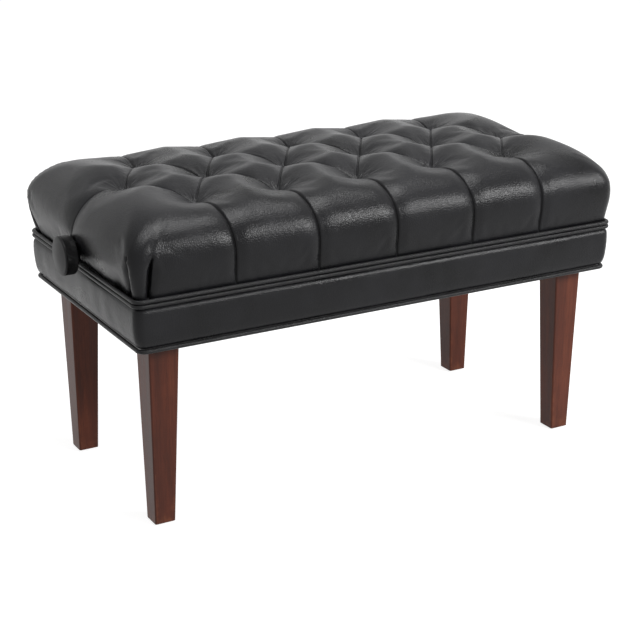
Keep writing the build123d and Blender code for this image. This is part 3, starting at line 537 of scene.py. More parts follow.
tuft_pitch, tuft_row = 0.1276, 0.1005
front_tufts, middle_tufts, back_tufts = (
    [((i - (count - 1) / 2) * tuft_pitch, y) for i in range(count)]
    for count, y in ((5, -tuft_row), (6, 0.0), (5, tuft_row)))
tufts = np.array(front_tufts + middle_tufts + back_tufts)
tuft_depths = np.array([0.0285] * 5 + [0.0275] * 6 + [0.0240] * 5)
print("tufts", len(tufts), "hide", [round(2 * (half + hem_distance), 3) for half in (flat_x, flat_y)])

# %% From the flat hide to the shaped cushion
def hide_column(distance, column):
    """A column of the hide's table at some distances, joined smoothly between its rows."""
    rows, values = hide_lines[:, 0], hide_lines[:, column]
    slopes = np.gradient(values, rows)
    place = np.clip(np.searchsorted(rows, distance) - 1, 0, len(rows) - 2)
    step = rows[place + 1] - rows[place]
    t = np.clip((distance - rows[place]) / step, 0, 1)
    start = (1 + 2 * t) * (1 - t) ** 2 * values[place] + t * (1 - t) ** 2 * step * slopes[place]
    end = t ** 2 * (3 - 2 * t) * values[place + 1] + t ** 2 * (t - 1) * step * slopes[place + 1]
    return start + end


crown_rise = 0.0020
front_keep, end_keep = 0.26, 0.07      # along each side, how far the hide keeps its own spacing


def quarter_lengths(distance):
    """A line of the hide in plan: half of each shaped straight side, the corner's radius, and the
    length of its turn while flat and once shaped."""
    inset, corner, end_inset = (hide_column(distance, column) for column in (1, 3, 4))
    shaped_x, shaped_y = half_x - inset - end_inset - corner, half_y - inset - corner
    flat_turn = (flat_corner + distance) * math.pi / 2
    shaped_turn = corner * math.pi / 2
    return shaped_x, shaped_y, corner, flat_turn, shaped_turn


def hide_reach(points):
    """How far flat points lie beyond the hide's flat top, and where they lie by its corners."""
    beyond_x, beyond_y = (np.abs(points) - (straight_x, straight_y)).T
    in_turn = (beyond_x > 0) & (beyond_y > 0)
    reach = np.where(in_turn, np.hypot(beyond_x, beyond_y), np.maximum(beyond_x, beyond_y)) - flat_corner
    return reach, beyond_x, beyond_y, in_turn


def shape_hide(points):
    """Places flat points of the hide on the cushion, before any pleat is pulled in."""
    signs = np.where(points < 0, -1.0, 1.0)
    p, q = np.abs(points).T
    reach, beyond_x, beyond_y, in_turn = hide_reach(points)
    distance = np.maximum(reach, 0.0)
    shaped_x, shaped_y, corner, flat_turn, shaped_turn = quarter_lengths(distance)
    angle = np.arctan2(np.maximum(beyond_x, 0), np.maximum(beyond_y, 1e-9))
    along_turn = flat_turn * angle / (math.pi / 2)
    on_front = (beyond_y > 0) & ~in_turn
    flat_at = np.where(on_front, p, np.where(in_turn, straight_x + along_turn,
                                             straight_x + flat_turn + straight_y - q))
    flat_whole = straight_x + flat_turn + straight_y
    whole = shaped_x + shaped_turn + shaped_y
    flat_to, shaped_to = flat_whole - end_keep, whole - end_keep
    share = np.clip((flat_at - front_keep) / (flat_to - front_keep), 0, 1)
    at = np.where(flat_at < front_keep, flat_at, np.where(
        flat_at > flat_to, whole - (flat_whole - flat_at), front_keep + share * (shaped_to - front_keep)))
    turn = np.clip((at - shaped_x) / np.maximum(shaped_turn, 1e-9), 0, 1) * math.pi / 2
    x = np.where(at <= shaped_x, at, shaped_x + corner * np.sin(turn))
    y = np.where(at >= shaped_x + shaped_turn, np.maximum(whole - at, 0), shaped_y + corner * np.cos(turn))
    inside = reach <= 0
    x, y = np.where(inside, p, x), np.where(inside, q, y)
    far = np.minimum(np.hypot(p / flat_x, q / flat_y), 1.0)
    z = np.where(inside, flat_height + crown_rise * (1 - far ** 2), hide_column(distance, 2))
    return np.column_stack([x * signs[:, 0], y * signs[:, 1], z])


def side_point(along, height, on_end=False):
    """The flat point that lands on a long side (or an end) at a distance along it and a height."""
    rows = hide_lines[::-1]
    distance = float(np.interp(height, rows[3:, 2], rows[3:, 0]))    # past the flap, heights rise evenly
    shaped_x, shaped_y, corner, flat_turn, shaped_turn = quarter_lengths(np.array([distance]))
    straight = (shaped_y if on_end else shaped_x)[0]
    over = max(along - straight, 0.0)
    arc = math.asin(min(over / corner[0], 1.0)) * corner[0]
    whole = (shaped_x + shaped_turn + shaped_y)[0]
    at = min(along, straight) + arc
    at = whole - at if on_end else at
    flat_whole = straight_x + flat_turn[0] + straight_y
    share = (at - front_keep) / (whole - end_keep - front_keep)
    if share <= 0:
        flat_at = at
    elif share >= 1:
        flat_at = flat_whole - (whole - at)
    else:
        flat_at = front_keep + share * (flat_whole - end_keep - front_keep)
    reach = flat_corner + distance
    if flat_at <= straight_x:
        return np.array([flat_at, straight_y + reach])
    if flat_at >= straight_x + flat_turn[0]:
        return np.array([straight_x + reach, flat_whole - flat_at])
    turn = (flat_at - straight_x) / flat_turn[0] * math.pi / 2
    return np.array([straight_x + reach * math.sin(turn), straight_y + reach * math.cos(turn)])


check = shape_hide(np.array([[0.0, -flat_y - 0.09], [flat_x + 0.09, 0.0]]))
print("middle of the front", check[0].round(4), "middle of the right end", check[1].round(4))

# %% [markdown]
# ## The pleats
# Each pleat is a line on the flat hide with a depth and a width along it. Between tufts they
# are wide, and a little shallower halfway. Over the long edges they grow shallow and narrow
# towards the seam, and each corner takes up its spare leather in one or two short deep folds.

# %% Lay out the pleats
pleats = []          # each is its points, a depth and a width at each, and how sharp its slit is


def add_pleat(points, depths, widths, slit):
    """Adds one pleat to the plan."""
    pleats.append((np.array(points, dtype=float), np.array(depths), np.array(widths), slit))


diagonal_depths, diagonal_width = (0.0180, 0.0130, 0.0130, 0.0180), 0.052
for row in (front_tufts, back_tufts):
    for i, tuft in enumerate(row):
        for other in (middle_tufts[i], middle_tufts[i + 1]):
            stops = [np.array(tuft) + (np.array(other) - tuft) * t for t in (0, 0.3, 0.7, 1)]
            add_pleat(stops, diagonal_depths, (diagonal_width,) * 4, 0.8)

# over the long edges: the heights passed, and the share of the sideways lean reached there
edge_heights = (0.4615, 0.4550, 0.4420, 0.4210, 0.3950, 0.3455)
edge_steps = [float(np.interp(-h, -hide_lines[:-3, 2], hide_lines[:-3, 0])) for h in edge_heights]
edge_depths = (0.0170, 0.0110, 0.0070, 0.0060, 0.0050, 0.0038, 0.0030)
edge_widths = (0.044, 0.042, 0.038, 0.034, 0.028, 0.020, 0.014)
lean_shares = (0.10, 0.30, 0.52, 0.70, 0.85, 1.0)
front_feet = (-0.241, -0.114, 0.011, 0.139, 0.258)
back_feet = [x - 0.012 for x, _ in back_tufts]
for row, feet, side in ((front_tufts, front_feet, -1), (back_tufts, back_feet, 1)):
    for (x, y), foot in zip(row, feet):
        stops = [(x + (foot - x) * share, side * (flat_y + step))
                 for share, step in zip(lean_shares, edge_steps)]
        add_pleat([(x, y)] + stops, edge_depths, edge_widths, 1.0)

# over the ends, where one pleat is only half as deep
end_depths, end_widths = np.array((0.0190, 0.0120, 0.0095, 0.0075, 0.0050, 0.0020)), (0.048,) * 5 + (0.040,)
for (x, y), end, share in ((middle_tufts[0], -1, 1.0), (middle_tufts[-1], 1, 0.5)):
    stops = [(end * (flat_x + step), y) for step in edge_steps[:5]]
    add_pleat([(x, y)] + stops, share * end_depths, end_widths, 0.3)

# at the corners: where along a side or an end each fold passes each height
dart_heights = (0.397, 0.387, 0.369, 0.344)
dart_fronts = (0.3640, 0.3648, 0.3658, 0.3668)
dart_ends = (0.1840, 0.1820, 0.1780, 0.1700)
dart_depths, dart_widths = (0.0015, 0.0075, 0.0095, 0.0080), (0.011, 0.013, 0.013, 0.012)
for sx in (-1, 1):
    for sy in (-1, 1):
        fronts = [side_point(x, h) * (sx, sy) for x, h in zip(dart_fronts, dart_heights)]
        ends = [side_point(y, h, on_end=True) * (sx, sy) for y, h in zip(dart_ends, dart_heights)]
        for stops in (fronts, ends) if sx == sy else (ends,):
            add_pleat(stops, dart_depths, dart_widths, 3.0)
print("pleats", len(pleats))

# %% [markdown]
# ## The cushion's mesh
# Sharp folds need edges that run along them. So the mesh is made from points: close rows
# beside every pleat, rings round every tuft, and an even field between. Blender's Delaunay
# routine joins them into triangles and keeps every pleat line as edges.

# %% Measure along the pleats and tufts
def nearest_on(points, line):
    """Distance to a pleat's line, share of its depth and width there, and which side of it."""
    best = np.full(len(points), 1e9)
    depth, width, side = np.zeros(len(points)), np.full(len(points), 0.05), np.zeros(len(points))
    xy, depths, widths = line[:3]
    for k in range(len(xy) - 1):
        step = xy[k + 1] - xy[k]
        length = np.hypot(*step)
        t = np.clip(((points - xy[k]) @ step) / length ** 2, 0, 1)
        away = points - (xy[k] + t[:, None] * step)
        gap = np.hypot(away[:, 0], away[:, 1])
        closer = gap < best
        best = np.where(closer, gap, best)
        depth = np.where(closer, depths[k] + t * (depths[k + 1] - depths[k]), depth)
        width = np.where(closer, widths[k] + t * (widths[k + 1] - widths[k]), width)
        cross = (step[0] * away[:, 1] - step[1] * away[:, 0]) / length
        side = np.where(closer, cross, side)
    return best, depth, width, side


def pleat_distance(points, lines):
    """Distance from each point to the nearest of some pleats."""
    return np.min([nearest_on(points, line)[0] for line in lines], axis=0)


def tuft_distance(points):
    """Distance from each point to the nearest tuft."""
    return np.min(np.hypot(*(points[:, None] - tufts[None]).transpose(2, 0, 1)), axis=1)


def spaced_line(xy, gap):
    """Points along a line, evenly spaced, that keep its corners."""
    spaced = [xy[0]]
    for a, b in zip(xy[:-1], xy[1:]):
        count = max(int(round(np.hypot(*(b - a)) / gap)), 1)
        spaced += [a + (b - a) * t for t in np.linspace(0, 1, count + 1)[1:]]
    return np.array(spaced)


def round_rectangle(straight_x, straight_y, radius, turn_steps, side_steps):
    """A closed loop of points: four round corners, joined by straight sides."""
    turns = []
    for k, (sx, sy) in enumerate(((1, 1), (-1, 1), (-1, -1), (1, -1))):
        angles = np.radians(90 * k + np.linspace(0, 90, turn_steps + 1))
        turns.append(np.column_stack([sx * straight_x + radius * np.cos(angles),
                                      sy * straight_y + radius * np.sin(angles)]))
    loop = []
    for turn, after, steps in zip(turns, turns[1:] + turns[:1], side_steps * 2):
        share = np.linspace(0, 1, steps + 1)[1:-1][:, None]
        loop += [turn, turn[-1] + (after[0] - turn[-1]) * share]
    return np.vstack(loop)


def hide_loop(distance, gap):
    """A line of the flat hide's border, as a closed loop of points."""
    radius = flat_corner + distance
    turn_steps = max(int(radius * math.pi / 2 / gap), 4)
    side_steps = tuple(max(int(round(2 * straight / gap)), 1) for straight in (straight_x, straight_y))
    return round_rectangle(straight_x, straight_y, radius, turn_steps, side_steps)


print("from the first tuft to the diagonals", round(float(pleat_distance(tufts[:1], pleats[2:4])[0]), 3))

# %% Scatter the points
field_step, loop_step, pleat_step = 0.0042, 0.006, 0.0034
row_offsets = (0.0009, 0.0022, 0.0042, 0.0068)
ring_radii = (0.0014, 0.0030, 0.0050, 0.0074, 0.0100)
room_for_row, room_for_ring, room_for_seam = 0.0012, 0.0007, 0.003
rows_start, field_start = 0.0122, 0.0128           # distance from a tuft


def ring_round(x, y, radius):
    """A ring of points round a tuft. A wider ring has more points."""
    angles = np.linspace(0, 2 * math.pi, 12 + int(radius * 2400), endpoint=False)
    return np.column_stack([x + radius * np.cos(angles), y + radius * np.sin(angles)])


middles = [spaced_line(line[0], pleat_step) for line in pleats]
rows = []
for index, middle in enumerate(middles):
    heading = np.gradient(middle, axis=0)
    heading /= np.hypot(heading[:, 0], heading[:, 1])[:, None]
    across = np.column_stack([-heading[:, 1], heading[:, 0]])
    others = pleats[:index] + pleats[index + 1:]
    for offset in row_offsets:
        for way in (-1, 1):
            row = middle + across * offset * way
            clear = (pleat_distance(row, others) > offset + room_for_row) & (tuft_distance(row) > rows_start)
            rows.append(row[clear])
rings = np.vstack([ring_round(x, y, radius) for x, y in tufts for radius in ring_radii])
rings = rings[pleat_distance(rings, pleats) > room_for_ring]

xs = np.arange(-flat_x - hem_distance, flat_x + hem_distance, field_step)
row_step = field_step * 0.866                      # rows of even triangles
ys = np.arange(-flat_y - hem_distance, flat_y + hem_distance, row_step)
field = np.array([(x + (j % 2) * field_step / 2, y) for j, y in enumerate(ys) for x in xs])
inside = hide_reach(field)[0] < seam_distance - room_for_seam
field = field[inside & (tuft_distance(field) > field_start)
              & (pleat_distance(field, pleats) > row_offsets[-1] + field_step * 0.55)]
loops = [hide_loop(distance, loop_step) for distance in hide_lines[-4:, 0]]
print("field", len(field), "rows", sum(map(len, rows)), "rings", len(rings))

# %% Triangles that follow the pleats
points, edges = [], []
for middle in middles:
    first = len(points)
    points += list(middle)
    edges += [(first + i, first + i + 1) for i in range(len(middle) - 1)]
points += list(rings) + [p for row in rows for p in row] + list(field) + list(np.vstack(loops[:-1]))
hem_first = len(points)
points += list(loops[-1])
edges += [(hem_first + i, hem_first + (i + 1) % len(loops[-1])) for i in range(len(loops[-1]))]
flat_points, _, triangles, _, _, _ = delaunay_2d_cdt([Vector(p) for p in points], edges, [], 0, 1e-5)
flat_points = np.array([tuple(v) for v in flat_points])
triangles = np.array([t for t in triangles if len(t) == 3])
a, b, c = flat_points[triangles[:, 0]], flat_points[triangles[:, 1]], flat_points[triangles[:, 2]]
area = (b[:, 0] - a[:, 0]) * (c[:, 1] - a[:, 1]) - (b[:, 1] - a[:, 1]) * (c[:, 0] - a[:, 0])
real = np.abs(area) > 1e-12
triangles, area = triangles[real], area[real]
triangles[area < 0] = triangles[area < 0][:, ::-1]
print("hide mesh", len(flat_points), "points", len(triangles), "triangles")

# %% [markdown]
# ## Pulling the pleats in
# Every pleat pushes the hide in along its own normal, most at the line and fading across its
# width, with a steep start that reads as a fold. Where pleats and tufts meet, a smooth maximum
# blends them, so pillows rise between them without ridges.

# %% Pleat depths on the hide
pleat_power, tuft_power = 2.3, 1.7      # a higher power is steeper at the line
blend_power = 4.0
tuft_reach = 0.090                      # each tuft lies in a wide funnel
deepest = 0.0300                        # the twine ends below this
lean_depth, lean_below, lean_width = 0.0035, 0.045, 0.042      # the front leans in below its shoulder
seam_keep, seam_fade = 0.004, 0.020     # nothing is pulled in at the seam itself


def pull_in(distance, depth, width, power):
    """How far the hide is pulled in at a distance from a line or a tuft."""
    return depth * np.clip(1 - distance / width, 0, 1) ** power


def bell(distance, width):
    """One at no distance, and fading smoothly on both sides."""
    return np.exp(-(distance / width) ** 2)


base = shape_hide(flat_points)
small = 0.0004
step_x, step_y = (shape_hide(flat_points + step) - shape_hide(flat_points - step)
                  for step in np.diag((small, small)))
normals = np.cross(step_x, step_y)
normals /= np.maximum(np.linalg.norm(normals, axis=1), 1e-12)[:, None]

hide_count = len(flat_points)
total = np.zeros(hide_count)
slit_gap, slit_side, slit_share = np.ones(hide_count), np.zeros(hide_count), np.zeros(hide_count)
for line in pleats:
    distance, depth, width, side = nearest_on(flat_points, line)
    total += pull_in(distance, depth, width, pleat_power) ** blend_power
    closer = distance < slit_gap
    slit_gap = np.where(closer, distance, slit_gap)
    slit_side = np.where(closer, side, slit_side)
    slit_share = np.where(closer, line[3], slit_share)
tuft_gap, tuft_nearest = np.ones(hide_count), np.zeros(hide_count, int)
for k, tuft in enumerate(tufts):
    distance = np.hypot(*(flat_points - tuft).T)
    total += pull_in(distance, tuft_depths[k], tuft_reach, tuft_power) ** blend_power
    tuft_nearest = np.where(distance < tuft_gap, k, tuft_nearest)
    tuft_gap = np.minimum(tuft_gap, distance)
depths = total ** (1 / blend_power)
depths = np.where(tuft_gap < tuft_reach, deepest * np.tanh((depths / deepest) ** 3) ** (1 / 3), depths)
depths += lean_depth * bell(flat_points[:, 1] + flat_y + lean_below, lean_width)
flat_reach = np.maximum(np.abs(flat_points) - (flat_x, flat_y), 0).max(axis=1)
depths *= np.clip((seam_distance + seam_keep - flat_reach) / seam_fade, 0, 1)
shaped = base - normals * depths[:, None]
print("deepest pull", round(depths.max(), 4), "lowest tuft", round(shaped[tuft_gap < 0.001][:, 2].min(), 4))

# %% [markdown]
# ## Closing the cushion
# Under the seat frame the leather turns in as a flap. The cushion body is closed from there: up
# round the frame's outside and flat across the seat board, where the foam rests. A closed body
# can hold air pressure, which the next step needs.

# %% Close the underside
def face_outwards(mesh):
    """Turns every face of a closed mesh outwards. Returns the number of open edges and the volume."""
    tidy = bmesh.new()
    tidy.from_mesh(mesh)
    bmesh.ops.recalc_face_normals(tidy, faces=tidy.faces)
    open_edges = sum(1 for edge in tidy.edges if not edge.is_manifold)
    volume = tidy.calc_volume(signed=True)
    if volume < 0:
        bmesh.ops.reverse_faces(tidy, faces=tidy.faces)
    tidy.to_mesh(mesh)
    tidy.free()
    return open_edges, abs(volume)


frame_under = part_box("seat_rail_left")[0][2] - hair
clear_x, clear_y = board_x + hair, board_y + hair
inner_lines = [(board_x - flap, board_y - flap, frame_under), (clear_x, clear_y, frame_under),
               (clear_x, clear_y, board_top + hair)]
hem_ids = [int(np.argmin(np.hypot(*(flat_points - p).T))) for p in loops[-1]]
hem_ids = [i for k, i in enumerate(hem_ids) if i != hem_ids[k - 1]]
hem_plan = base[hem_ids][:, :2]
hem_size = np.array([board_x, board_y]) - flap
verts = list(shaped)
faces = [tuple(t) for t in triangles]
last_loop = hem_ids
for line_x, line_y, height in inner_lines:
    scale = np.array([line_x, line_y]) / hem_size
    this_loop = list(range(len(verts), len(verts) + len(hem_plan)))
    verts += [(x, y, height) for x, y in hem_plan * scale]
    faces += [(this_loop[k - 1], this_loop[k], last_loop[k], last_loop[k - 1]) for k in range(len(hem_plan))]
    last_loop = this_loop
faces.append(tuple(last_loop[::-1]))
cushion_mesh = new_mesh("seat_cushion", verts, faces)
cushion_mesh.validate()
open_edges, volume = face_outwards(cushion_mesh)
cushion = new_object("seat_cushion", cushion_mesh)
print("cushion", len(cushion_mesh.vertices), "vertices, open edges", open_edges, "volume", round(volume, 5))

# %% [markdown]
# ## Letting the cushion swell
# The panels between the pleats still follow a formula. A cloth simulation with air pressure
# inside and the sharp pleats pinned lets them swell and pucker as stuffed leather does. No point may
# move further than a few millimetres, so the cushion keeps its size.

# %% Cloth with pressure
swell_limit = 0.0050
pinned_slit, pinned_tuft = 0.0005, 0.0035      # how near a sharp pleat or a tuft the hide is held


def read_vectors(vertices, kind="co"):
    """One vector for each vertex, as a table."""
    flat = np.empty(len(vertices) * 3)
    vertices.foreach_get(kind, flat)
    return flat.reshape(-1, 3)


def swell(piece, pins, pressure, frames, limit, spare):
    """Simulates the piece as cloth under pressure, caps how far it moved and keeps the result."""
    mesh = piece.data
    start = read_vectors(mesh.vertices)
    held = piece.vertex_groups.new(name="held")
    held.add([int(i) for i in pins], 1.0, "REPLACE")
    cloth = piece.modifiers.new("cloth", "CLOTH")
    settings = cloth.settings
    settings.quality = 5
    settings.use_pressure = True
    settings.uniform_pressure_force = pressure
    settings.effector_weights.gravity = 0.0
    settings.vertex_group_mass = "held"
    settings.shrink_min = -spare
    settings.tension_stiffness = settings.compression_stiffness = 25.0
    settings.bending_stiffness = 8.0
    cloth.point_cache.frame_end = frames
    for number in range(1, frames + 1):
        bpy.context.scene.frame_set(number)
    evaluated = piece.evaluated_get(bpy.context.evaluated_depsgraph_get())
    move = read_vectors(evaluated.data.vertices) - start
    size = np.linalg.norm(move, axis=1)
    share = limit * np.tanh(size / limit) / np.maximum(size, 1e-9)
    piece.modifiers.remove(cloth)
    piece.vertex_groups.remove(held)
    bpy.context.scene.frame_set(1)
    mesh.vertices.foreach_set("co", (start + move * share[:, None]).ravel())
    mesh.update()
    return size


on_slit = (slit_gap < pinned_slit) & (slit_share > 0.5)
held_points = on_slit | (tuft_gap < pinned_tuft) | (flat_reach > seam_distance - seam_keep)
pins = list(np.nonzero(held_points)[0]) + list(range(hide_count, len(cushion_mesh.vertices)))
moved = swell(cushion, pins, pressure=4.0, frames=16, limit=swell_limit, spare=0.002)
print("swell", round(float(moved.max()), 4), "mean", round(float(moved.mean()), 5))

# %% [markdown]
# ## Slits, lips and pulled folds
# Last come the marks too fine for the simulation: the narrow slit at the middle of a pleat, the
# rolled lip on the side that laps over it, and the attributes that tell the leather finish where
# creases and tufts are.

# %% Sharpen the pleats
slit_depth, slit_width = 0.0020, 0.0009
lip_height, lip_offset, lip_width = 0.0009, 0.0028, 0.0020
# crease_width and tuft_crease set how wide and how strong the painted shade and extra roughness are in the
# slits and tuft pits
crease_width, tuft_crease, tuft_crease_width = 0.0010, 0.7, 0.003
no_lip_round_tuft = 0.012
fade_past_seam, fade_width = 0.002, 0.006                # the marks end at the seam
pull_from, pull_full, pull_to = 0.003, 0.013, 0.043      # the folds round a tuft, by distance from it

sharp = slit_share.clip(0, 1)
fade = np.clip((seam_distance + fade_past_seam - flat_reach) / fade_width, 0, 1)
slit = slit_depth * slit_share * bell(slit_gap, slit_width)
lip = lip_height * sharp * bell(slit_side - lip_offset, lip_width)
move = (lip * (1 - bell(tuft_gap, no_lip_round_tuft)) - slit) * fade
places = read_vectors(cushion_mesh.vertices)
places[:hide_count] += read_vectors(cushion_mesh.vertices, "normal")[:hide_count] * move[:, None]
cushion_mesh.vertices.foreach_set("co", places.ravel())


def point_attribute(mesh, name, values, kind="FLOAT"):
    """Stores one value or vector for each vertex; vertices past the list get zero."""
    attribute = mesh.attributes.new(name, kind, "POINT")
    size = 1 if kind == "FLOAT" else 3
    data = np.zeros((len(mesh.vertices), size))
    data[:len(values)] = np.asarray(values).reshape(len(values), size)
    attribute.data.foreach_set("value" if kind == "FLOAT" else "vector", data.ravel())


# the crease attribute marks the pleat slits and the tuft pits, where the leather finish paints shade and
# makes the leather rougher
crease = np.maximum(sharp * bell(slit_gap, crease_width) * fade,
                    tuft_crease * bell(tuft_gap, tuft_crease_width))
pull = np.interp(tuft_gap, (pull_from, pull_full, pull_to), (0.0, 1.0, 0.0))
away = (flat_points - tufts[tuft_nearest]) / np.maximum(tuft_gap, 1e-6)[:, None]
around = np.column_stack([away, tuft_gap * 8 + tuft_nearest * 3.7])      # no two tufts fold alike
point_attribute(cushion_mesh, "crease", crease)
point_attribute(cushion_mesh, "pull", pull)
point_attribute(cushion_mesh, "around_tuft", around, "FLOAT_VECTOR")
cushion_mesh.materials.append(finishes["leather"])
cushion_mesh.shade_smooth()
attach(cushion, "seat")
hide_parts("seat_cover", "seat_foam", "seat_wadding")
print("cushion spans", places.min(axis=0).round(4), places.max(axis=0).round(4))

# %% [markdown]
# ## Rings round the bench
# The padded apron and the three pipings run round much the same rounded rectangle. Each is a
# profile of rows, and a row is one closed loop at its own size, height and corner radius. One
# function joins such rows into a closed ring.

# %% A ring from rows
ring_turn_steps, ring_side_steps = 10, (125, 60)      # the same for every row, whatever its corner
ring_band = 0.02                                      # a ring's width, within which it is pushed out


def tube_faces(rings, sides, closed=False):
    """Faces between neighbouring rings of points. Closed, the last ring joins the first."""
    return [(i * sides + j, i * sides + (j + 1) % sides,
             (i + 1) % rings * sides + (j + 1) % sides, (i + 1) % rings * sides + j)
            for i in range(rings if closed else rings - 1) for j in range(sides)]


def ring_mesh(name, rows):
    """A closed ring through rows of (half length, half depth, height, corner radius)."""
    loops = [round_rectangle(x - corner, y - corner, corner, ring_turn_steps, ring_side_steps)
             for x, y, _, corner in rows]
    size = len(loops[0])
    places = np.column_stack([np.vstack(loops), np.repeat([row[2] for row in rows], size)])
    return new_mesh(name, places, tube_faces(len(rows), size, closed=True)), places, size


def push_out(mesh, places, reach_x, reach_y, amounts):
    """Moves a ring's points away from the bench by small amounts, and finishes its faces."""
    inner = (reach_x - ring_band, reach_y - ring_band, 0.0)
    outward = np.sign(places) * np.clip(np.abs(places) - inner, 0, 1) * (1, 1, 0)
    outward /= np.maximum(np.linalg.norm(outward, axis=1), 1e-9)[:, None]
    mesh.vertices.foreach_set("co", (places + outward * amounts[:, None]).ravel())
    face_outwards(mesh)
    mesh.shade_smooth()


def finish_piece(mesh, body, finish, *replaced):
    """Makes an object of a finished mesh, and has it ride on a body in place of some nodes."""
    piece = new_object(mesh.name, mesh)
    mesh.materials.clear()
    mesh.materials.append(finishes[finish])
    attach(piece, body)
    if replaced:
        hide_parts(*replaced)
    return piece


def slow_waves(places, size, seed):
    """Smooth random waves between -1 and 1, from a few fixed sines."""
    waves = np.random.default_rng(seed)
    total = np.zeros(len(places))
    for _ in range(7):
        direction = waves.normal(size=3)
        direction /= np.linalg.norm(direction)
        length = size * waves.uniform(0.6, 1.5)
        total += np.sin(places @ direction * 2 * math.pi / length + waves.uniform(0, 6.28))
    return total / 3.5


print("rings are ready")

# %% [markdown]
# ## The padded apron
# Foam under leather covers the four apron boards. The leather comes out from behind the upper
# piping, runs down a nearly flat face that swells a little, draws in above the lower piping,
# and folds under the boards. The ring below follows that path and comes back up against the
# wood, so it is a closed pad.

# %% The apron pad
apron_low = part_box("apron_cover")[0]
edge_x, edge_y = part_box("apron_piping_upper")[1][:2]
foot_x, foot_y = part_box("apron_piping_lower")[1][:2]
wood_low, wood_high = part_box("apron_front")
wood_x, wood_y = wood_high[0], -wood_low[1]
apron_corner, least_corner, flap_corner = 0.014, 0.006, 0.003

# from the upper piping down: inset from its edge, share of the narrowing to the foot, height
apron_profile = (
    (0.0071, 0.0, 0.3398), (0.0071, 0.0, 0.3345), (0.0042, 0.0, 0.3318), (0.0024, 0.0, 0.3296),
    (0.0016, 0.0, 0.3262), (0.0011, 0.02, 0.3200), (0.0009, 0.05, 0.3120), (0.0011, 0.12, 0.3030),
    (0.0014, 0.24, 0.2940), (0.0017, 0.42, 0.2870), (0.0022, 0.68, 0.2820), (0.0032, 0.88, 0.2790),
    (0.0050, 1.0, 0.2772), (0.0071, 1.0, 0.2755), (0.0071, 1.0, 0.2706), (0.0080, 1.0, 0.2701))
behind_inset, behind_height = 0.0085, 0.3399      # where the pad ends, behind the upper piping
face_rows = range(2, 13)                          # the rows that show, and may wave
face_middle, face_spread = 0.305, 0.022
broad_wave, fine_wave = 0.0006, 0.00028
apron_rows = [(edge_x - inset - share * (edge_x - foot_x), edge_y - inset - share * (edge_y - foot_y),
               height, max(apron_corner - inset, least_corner)) for inset, share, height in apron_profile]

# then in under the boards as a flap, and back up against the wood
flap_x, flap_y, clear_x, clear_y = wood_x - flap, wood_y - flap, wood_x + hair, wood_y + hair
for row_x, row_y, height in (
        (flap_x, flap_y, apron_profile[-1][2]), (flap_x, flap_y, wood_low[2] - hair),
        (clear_x, clear_y, wood_low[2] - hair), (clear_x, clear_y, wood_high[2] + hair),
        (flap_x, flap_y, wood_high[2] + hair), (flap_x, flap_y, behind_height)):
    apron_rows.append((row_x, row_y, height, flap_corner))
apron_rows.append((edge_x - behind_inset, edge_y - behind_inset, behind_height, least_corner))
apron_mesh, places, size = ring_mesh("apron_pad", apron_rows)
on_face = np.isin(np.repeat(np.arange(len(apron_rows)), size), face_rows)
middle_of_face = bell(places[:, 2] - face_middle, face_spread)
waves = broad_wave * slow_waves(places, 0.16, 3) + fine_wave * slow_waves(places * (1, 1, 0.5), 0.035, 4)
push_out(apron_mesh, places, edge_x, edge_y, waves * on_face * (0.4 + 0.6 * middle_of_face))
apron_pad = finish_piece(apron_mesh, "base", "leather", "apron_cover", "apron_foam")
print("apron pad", len(apron_mesh.vertices), "vertices")

# %% [markdown]
# ## The pipings
# A piping is a cord wrapped in a strip of the same leather. The strip is pulled tight while it
# is stapled, so its surface has faint slanted creases and the line wanders by a fraction of a
# millimetre.

# %% Three leather pipings
piping_press, piping_sides = 0.85, 14
crease_slant, crease_height, wander = 0.003, 0.00010, 0.00018
piping_turns = np.linspace(0, 2 * math.pi, piping_sides, endpoint=False)


def piping_piece(name, node, body, seed, settle):
    """One piping. Sewn down, it is a little thinner than its solid, and settles up or down by a share."""
    low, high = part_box(node)
    full = (high[2] - low[2]) / 2
    radius = full * piping_press
    middle = (high[2] + low[2]) / 2 + settle * (full - radius)
    rows = [(high[0] - radius + radius * math.cos(a), high[1] - radius + radius * math.cos(a),
             middle + radius * math.sin(a), apron_corner - radius + radius * math.cos(a))
            for a in piping_turns]
    mesh, places, size = ring_mesh(name, rows)
    turn = np.repeat(piping_turns, size)
    slant = crease_slant * turn
    twist = np.column_stack([places[:, 0] + slant, places[:, 1] + slant, places[:, 2]])
    creases = crease_height * slow_waves(twist, 0.02, seed) + wander * slow_waves(places, 0.12, seed + 1)
    push_out(mesh, places, high[0], high[1], creases * np.cos(turn))
    return finish_piece(mesh, body, "piping_leather", node)


piping_piece("seat_welt", "seat_piping", "seat", 11, -0.9)
piping_piece("apron_welt_upper", "apron_piping_upper", "base", 21, 0.9)
piping_piece("apron_welt_lower", "apron_piping_lower", "base", 31, 0.0)
print("pipings made")

# %% [markdown]
# ## The lift screw's thread
# The construction model keeps the screw as a plain rod. Its thread is cut where the nut runs.
# The rod is a row of rings close enough together to show the thread, with each point's radius
# worked out from how far along and how far round it lies.

# %% Cut the thread
rod_low, rod_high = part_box("lift_screw")
rod_radius = (rod_high[2] - rod_low[2]) / 2
rod_height = (rod_high[2] + rod_low[2]) / 2
nut_low, nut_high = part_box("nut_block")
thread_pitch, thread_depth, thread_sides, thread_steps = 0.003, 0.0012, 20, 5
thread_start, thread_end = nut_low[0] - 0.035, nut_high[0] + 0.030      # room for the nut's travel
groove_slope, end_chamfer = 3.2, 0.0006

